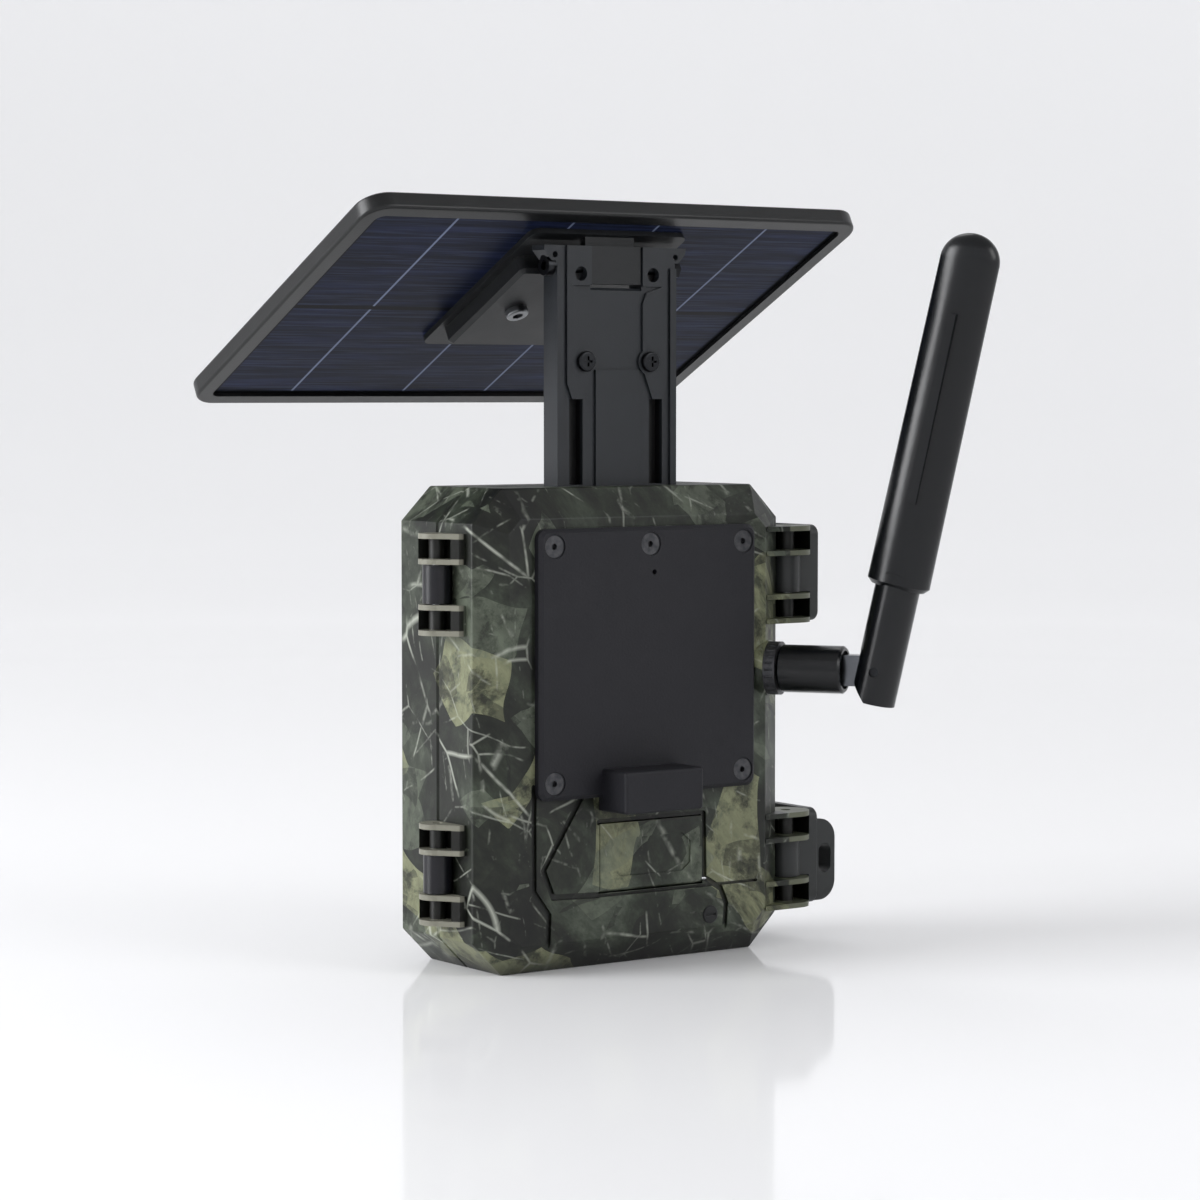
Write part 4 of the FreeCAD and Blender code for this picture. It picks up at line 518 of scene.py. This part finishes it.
# ---- what a user would change ----
class TrailCasePrint(bpy.types.PropertyGroup):
    leaf_size: bpy.props.FloatProperty(name="Leaf size",
                                       description="Width of a printed leaf in millimetres",
                                       default=23.0, min=5.0, max=120.0)
    twig_width: bpy.props.FloatProperty(name="Twig width",
                                        description="Width of the pale twigs against the usual film",
                                        default=1.0, min=0.2, max=4.0, subtype="FACTOR")
    leaf: bpy.props.FloatVectorProperty(name="Leaf", description="Dry leaf colour", subtype="COLOR", size=3,
                                        default=linear("#7D8063"), min=0, max=1)
    moss: bpy.props.FloatVectorProperty(name="Moss", description="Grey-green veil over the print",
                                        subtype="COLOR", size=3, default=linear("#5E6557"), min=0, max=1)
    shadow: bpy.props.FloatVectorProperty(name="Shadow", description="Deep shade between leaves",
                                          subtype="COLOR", size=3, default=linear("#131510"), min=0, max=1)
    twig: bpy.props.FloatVectorProperty(name="Twig", description="Pale twigs", subtype="COLOR", size=3,
                                        default=linear("#B4B8AC"), min=0, max=1)


class TrailLaminate(bpy.types.PropertyGroup):
    finger_pitch: bpy.props.FloatProperty(name="Finger pitch",
                                          description="Spacing of the printed lines in millimetres",
                                          default=0.9, min=0.2, max=5.0)
    busbar: bpy.props.FloatProperty(name="Busbar half width",
                                    description="Half width of a busbar in millimetres",
                                    default=0.45, min=0.1, max=3.0)
    finger: bpy.props.FloatVectorProperty(name="Finger", description="Printed line colour", subtype="COLOR",
                                          size=3, default=linear("#454E6A"), min=0, max=1)


class TrailStudio(bpy.types.PropertyGroup):
    key_watts: bpy.props.FloatProperty(name="Key light", description="Power of the large left-hand softbox",
                                       default=27.0, min=0.0, unit="POWER")
    fill_watts: bpy.props.FloatProperty(name="Fill light", description="Power of the front softbox",
                                        default=7.0, min=0.0, unit="POWER")
    world: bpy.props.FloatProperty(name="Room light", description="Strength of the even room light",
                                   default=0.5, min=0.0)
    backlight: bpy.props.FloatProperty(name="Backlight",
                                       description="Glow of the backdrop away from the object",
                                       default=0.25, min=0.0)
    lens: bpy.props.FloatProperty(name="Lens", description="Camera lens", default=103.77, min=10.0,
                                  unit="CAMERA")
    floor: bpy.props.FloatVectorProperty(name="Floor", description="Floor and backdrop colour",
                                         subtype="COLOR", size=3, default=linear("#F3F3F4"), min=0, max=1)


class TRAIL_OT_case(bpy.types.Operator):
    """Finishes the two half shells and the port flap with the printed woodland film"""
    bl_idname = "trail.case"
    bl_label = "Finish the case"

    def execute(self, context):
        cover(printed_abs("dip_printed_abs", context.scene.trail_print), "rear_shell", "front_shell")
        cover(printed_abs("dip_printed_flap", context.scene.trail_print, False), "port_flap")
        cover(silicone("seal_silicone", "#1A1B1C"), "case_gasket", "port_plug")
        return {"FINISHED"}


class TRAIL_OT_plate(bpy.types.Operator):
    """Finishes the rear plate, the tripod block and their screws"""
    bl_idname = "trail.plate"
    bl_label = "Finish the plate"

    def execute(self, context):
        cover(powder_coat("charcoal_powder_coat", "#18181D"), "mounting_plate", "tripod_block")
        cover(black_oxide(), "plate_screws", "antenna_collar")
        cover(turned_metal("turned_brass", "#B98F4A", 0.22, 0.36), "tripod_insert")
        return {"FINISHED"}


class TRAIL_OT_fittings(bpy.types.Operator):
    """Finishes the mast, latches, hinge knuckles and every pin"""
    bl_idname = "trail.fittings"
    bl_label = "Finish the fittings"

    def execute(self, context):
        cover(moulded_nylon("graphite_nylon", "#1D2024", 0.5, 0.44, True), "mast")
        cover(moulded_nylon("slate_nylon", "#282A2A", 0.5, 0.42), "upper_latch_lever", "lower_latch_lever")
        cover(moulded_nylon("black_acetal", "#0D0D13", 0.4, 0.3), "upper_hinge_knuckle",
              "lower_hinge_knuckle")
        cover(turned_metal("turned_stainless", "#B9BABC", 0.16, 0.32), "hinge_pins", "latch_pins",
              "flap_pin")
        cover(turned_metal("black_zinc_steel", "#2E2F31", 0.24, 0.4), "tilt_bolt", "mast_screws",
              "elbow_pin")
        cover(turned_metal("zinc_plated_steel", "#77797B", 0.26, 0.42), "pad_screws")
        cover(moulded_nylon("black_nylon_pad", "#141618", 0.5, 0.5), "panel_pad")
        return {"FINISHED"}


class TRAIL_OT_solar(bpy.types.Operator):
    """Finishes the solar panel's frame, glass, silicon strips and back sheet"""
    bl_idname = "trail.solar"
    bl_label = "Finish the solar panel"

    def execute(self, context):
        laminate = context.scene.trail_laminate
        cover(moulded_nylon("satin_black_frame", "#0F1011", 0.4, 0.32), "panel_frame")
        cover(clear_glass("low_iron_glass"), "panel_glass")
        cover(silicon_strip("silicon_strips", laminate), "panel_cells")
        cover(silicon_strip("laminated_back_sheet", laminate), "panel_backsheet")
        return {"FINISHED"}


class TRAIL_OT_antenna(bpy.types.Operator):
    """Finishes the folding antenna"""
    bl_idname = "trail.antenna"
    bl_label = "Finish the antenna"

    def execute(self, context):
        cover(moulded_nylon("antenna_polyurethane", "#080A0D", 0.35, 0.24), "antenna_base", "antenna_arm",
              "antenna_sheath")
        cover(turned_metal("black_nickel_brass", "#5E6064", 0.16, 0.3), "antenna_connector",
              "antenna_knuckle")
        cover(turned_metal("copper_rod", "#B87848", 0.25, 0.4), "antenna_element")
        return {"FINISHED"}


class TRAIL_OT_optics(bpy.types.Operator):
    """Finishes the lens, the infrared lamps and the motion sensor"""
    bl_idname = "trail.optics"
    bl_label = "Finish the front"

    def execute(self, context):
        cover(clear_glass("lens_glass_crown"), "lens_window", "lens_glass")
        cover(clear_glass("filter_glass", 1.5), "ir_cut_filter")
        cover(moulded_nylon("matt_black_barrel", "#101113", 0.3, 0.6), "lens_barrel")
        cover(dark_window(), "ir_window")
        cover(fresnel_sheet(), "pir_lens")
        cover(clear_glass("cast_epoxy", 1.5), "ir_leds", "light_pipe")
        cover(turned_metal("stamped_nickel_can", "#A5A39C", 0.25, 0.4), "pir_sensor", "card_slot")
        return {"FINISHED"}


class TRAIL_OT_inside(bpy.types.Operator):
    """Finishes the boards, battery bay, screen, keys and card"""
    bl_idname = "trail.inside"
    bl_label = "Finish the inside"

    def execute(self, context):
        cover(circuit_board("solder_mask_green"), "main_board", "ir_board", "image_sensor")
        cover(moulded_nylon("black_abs_inner", "#1D1E20", 0.6, 0.5), "inner_panel", "battery_tray",
              "battery_cover",
              "dc_socket")
        cover(cell_sleeve(), "battery_cells")
        cover(turned_metal("nickel_spring_steel", "#C4C2BC", 0.2, 0.35), "battery_contacts")
        cover(silicone("key_silicone", "#4A4D50"), "menu_key", "up_key", "down_key", "ok_key")
        cover(moulded_nylon("switch_nylon", "#8F9294", 0.4, 0.4), "mode_switch")
        cover(moulded_nylon("card_abs", "#1B2A4A", 0.3, 0.4), "memory_card")
        cover(display_glass(), "lcd_screen")
        return {"FINISHED"}


class TRAIL_OT_key_marks(bpy.types.Operator):
    """Adds the raised marks on the four keys: a bar, two arrowheads and a ring"""
    bl_idname = "trail.key_marks"
    bl_label = "Add the key marks"

    def execute(self, context):
        pale = silicone("mark_silicone", "#D8D9D6")
        height = 0.25 * MM

        def place(node):
            middle = centre(node)
            middle.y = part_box(node)[1][1]
            return middle

        def bar(shape):
            bmesh.ops.create_cube(shape, size=1, matrix=Matrix.Translation(place("menu_key"))
                                  @ Matrix.Diagonal((3.2 * MM, height, 0.8 * MM, 1)))

        def arrow(node, turn):
            def build(shape):
                spin = Matrix.Translation(place(node)) @ Matrix.Rotation(math.radians(90), 4, "X")
                spin = spin @ Matrix.Rotation(math.radians(turn), 4, "Z")
                bmesh.ops.create_cone(shape, cap_ends=True, segments=3, radius1=1.7 * MM, radius2=1.7 * MM,
                                      depth=height, matrix=spin)
            return build

        def ring(shape):
            spin = Matrix.Translation(place("ok_key")) @ Matrix.Rotation(math.radians(90), 4, "X")
            bmesh.ops.create_cone(shape, cap_ends=True, segments=40, radius1=1.9 * MM, radius2=1.9 * MM,
                                  depth=height, matrix=spin)
            caps = [f for f in shape.faces if len(f.verts) > 4]
            bmesh.ops.inset_individual(shape, faces=caps, thickness=0.5 * MM, depth=0)
            inner = [f for f in shape.faces if len(f.verts) > 4]
            bmesh.ops.bridge_loops(shape, edges=[e for f in inner for e in f.edges])
            bmesh.ops.delete(shape, geom=inner, context="FACES_ONLY")

        piece("menu_mark", bar, "menu_button", pale)
        piece("up_mark", arrow("up_key", 0), "up_button", pale)
        piece("down_mark", arrow("down_key", 180), "down_button", pale)
        piece("ok_mark", ring, "ok_button", pale)
        return {"FINISHED"}


class TRAIL_OT_panel_screws(bpy.types.Operator):
    """Adds the four cross-marked screws that hold the inner panel to its posts"""
    bl_idname = "trail.panel_screws"
    bl_label = "Add the inner panel screws"

    def execute(self, context):
        steel = turned_metal("pan_head_steel", "#8E9194", 0.2, 0.36)

        def build(shape):
            radius, height = 2.3 * MM, 0.9 * MM
            for x in (-46 * MM, 46 * MM):
                for z in (26 * MM, 114 * MM):
                    pan_head(shape, Vector((x, INNER_Y + height / 2, z)), radius, height)

        piece("inner_panel_screws", build, "front_case", steel)
        return {"FINISHED"}


class TRAIL_OT_stage(bpy.types.Operator):
    """Sets the floor, the lights, the room and the camera"""
    bl_idname = "trail.stage"
    bl_label = "Set the stage"

    def execute(self, context):
        studio = context.scene.trail_studio
        paper = studio_paper(studio)

        def bowl(shape):
            flat, bend, top, steps = 1.2, 3.4, 1.0, 24
            rim = [shape.verts.new((0, 0, 0)), shape.verts.new((flat, 0, 0))]
            for i in range(1, steps + 1):
                angle = math.pi / 2 * i / steps
                rim.append(shape.verts.new((flat + bend * math.sin(angle), 0, bend * (1 - math.cos(angle)))))
            rim.append(shape.verts.new((flat + bend, 0, bend + top)))
            edges = [shape.edges.new(pair) for pair in zip(rim, rim[1:])]
            bmesh.ops.spin(shape, geom=rim + edges, cent=(0, 0, 0), axis=(0, 0, 1), dvec=(0, 0, 0),
                           angle=math.tau, steps=96, use_merge=True, use_duplicate=False)

        floor = piece("floor", bowl, None, paper)
        floor.data.flip_normals()

        scene = context.scene
        scene.view_settings.view_transform = "Standard"
        scene.view_settings.look = "None"
        world = bpy.data.worlds.new("room")
        scene.world = world
        world.use_nodes = True
        sky = world.node_tree.nodes["Background"]
        sky.inputs["Color"].default_value = (*linear("#FCFCFC"), 1)
        sky.inputs["Strength"].default_value = studio.world

        def softbox(name, where_to, aim, width, height, watts, code="#FFFFFF"):
            data = bpy.data.lights.new(name, "AREA")
            data.shape = "RECTANGLE"
            data.size, data.size_y = width, height
            data.energy = watts
            data.color = linear(code)
            lamp = bpy.data.objects.new(name, data)
            lamp.location = where_to
            lamp.rotation_euler = (Vector(aim) - Vector(where_to)).to_track_quat("-Z", "Y").to_euler()
            scene.collection.objects.link(lamp)

        middle = (0, 0, 0.11)
        softbox("key_softbox", (1.4, -0.55, 0.65), middle, 0.8, 1.2, studio.key_watts, "#FCFDFF")
        softbox("fill_softbox", (-0.75, 1.5, 0.95), middle, 0.8, 0.9, studio.fill_watts)
        softbox("rim_softbox", (-0.5, -0.9, 1.7), middle, 0.7, 0.7, studio.fill_watts * 0.5)

        data = bpy.data.cameras.new("camera")
        data.lens = studio.lens
        data.sensor_width = 36
        data.clip_end = 50
        camera = bpy.data.objects.new("camera", data)
        camera.location = (0.5944, 0.8245, 0.1672)
        aim = Vector((-0.0053, -0.0159, 0.1054))
        camera.rotation_euler = (aim - camera.location).to_track_quat("-Z", "Y").to_euler()
        scene.collection.objects.link(camera)
        scene.camera = camera
        return {"FINISHED"}


STEPS = (TRAIL_OT_case, TRAIL_OT_plate, TRAIL_OT_fittings, TRAIL_OT_solar, TRAIL_OT_antenna, TRAIL_OT_optics,
         TRAIL_OT_inside, TRAIL_OT_key_marks, TRAIL_OT_panel_screws, TRAIL_OT_stage)


class TRAIL_PT_panel(bpy.types.Panel):
    bl_label = "Trail camera"
    bl_idname = "TRAIL_PT_panel"
    bl_space_type = "VIEW_3D"
    bl_region_type = "UI"
    bl_category = "Trail camera"

    def draw(self, context):
        scene = context.scene
        for group in (scene.trail_print, scene.trail_laminate, scene.trail_studio):
            box = self.layout.box()
            for key in group.__annotations__:
                box.prop(group, key)
        for step in STEPS:
            self.layout.operator(step.bl_idname)


CLASSES = (TrailCasePrint, TrailLaminate, TrailStudio, *STEPS, TRAIL_PT_panel)


def register():
    for made in CLASSES:
        bpy.utils.register_class(made)
    bpy.types.Scene.trail_print = bpy.props.PointerProperty(type=TrailCasePrint)
    bpy.types.Scene.trail_laminate = bpy.props.PointerProperty(type=TrailLaminate)
    bpy.types.Scene.trail_studio = bpy.props.PointerProperty(type=TrailStudio)


def unregister():
    del bpy.types.Scene.trail_studio
    del bpy.types.Scene.trail_laminate
    del bpy.types.Scene.trail_print
    for made in reversed(CLASSES):
        bpy.utils.unregister_class(made)


def main():
    register()
    bpy.ops.trail.case()
    bpy.ops.trail.plate()
    bpy.ops.trail.fittings()
    bpy.ops.trail.solar()
    bpy.ops.trail.antenna()
    bpy.ops.trail.optics()
    bpy.ops.trail.inside()
    bpy.ops.trail.key_marks()
    bpy.ops.trail.panel_screws()
    bpy.ops.trail.stage()


if __name__ == "__main__":
    main()
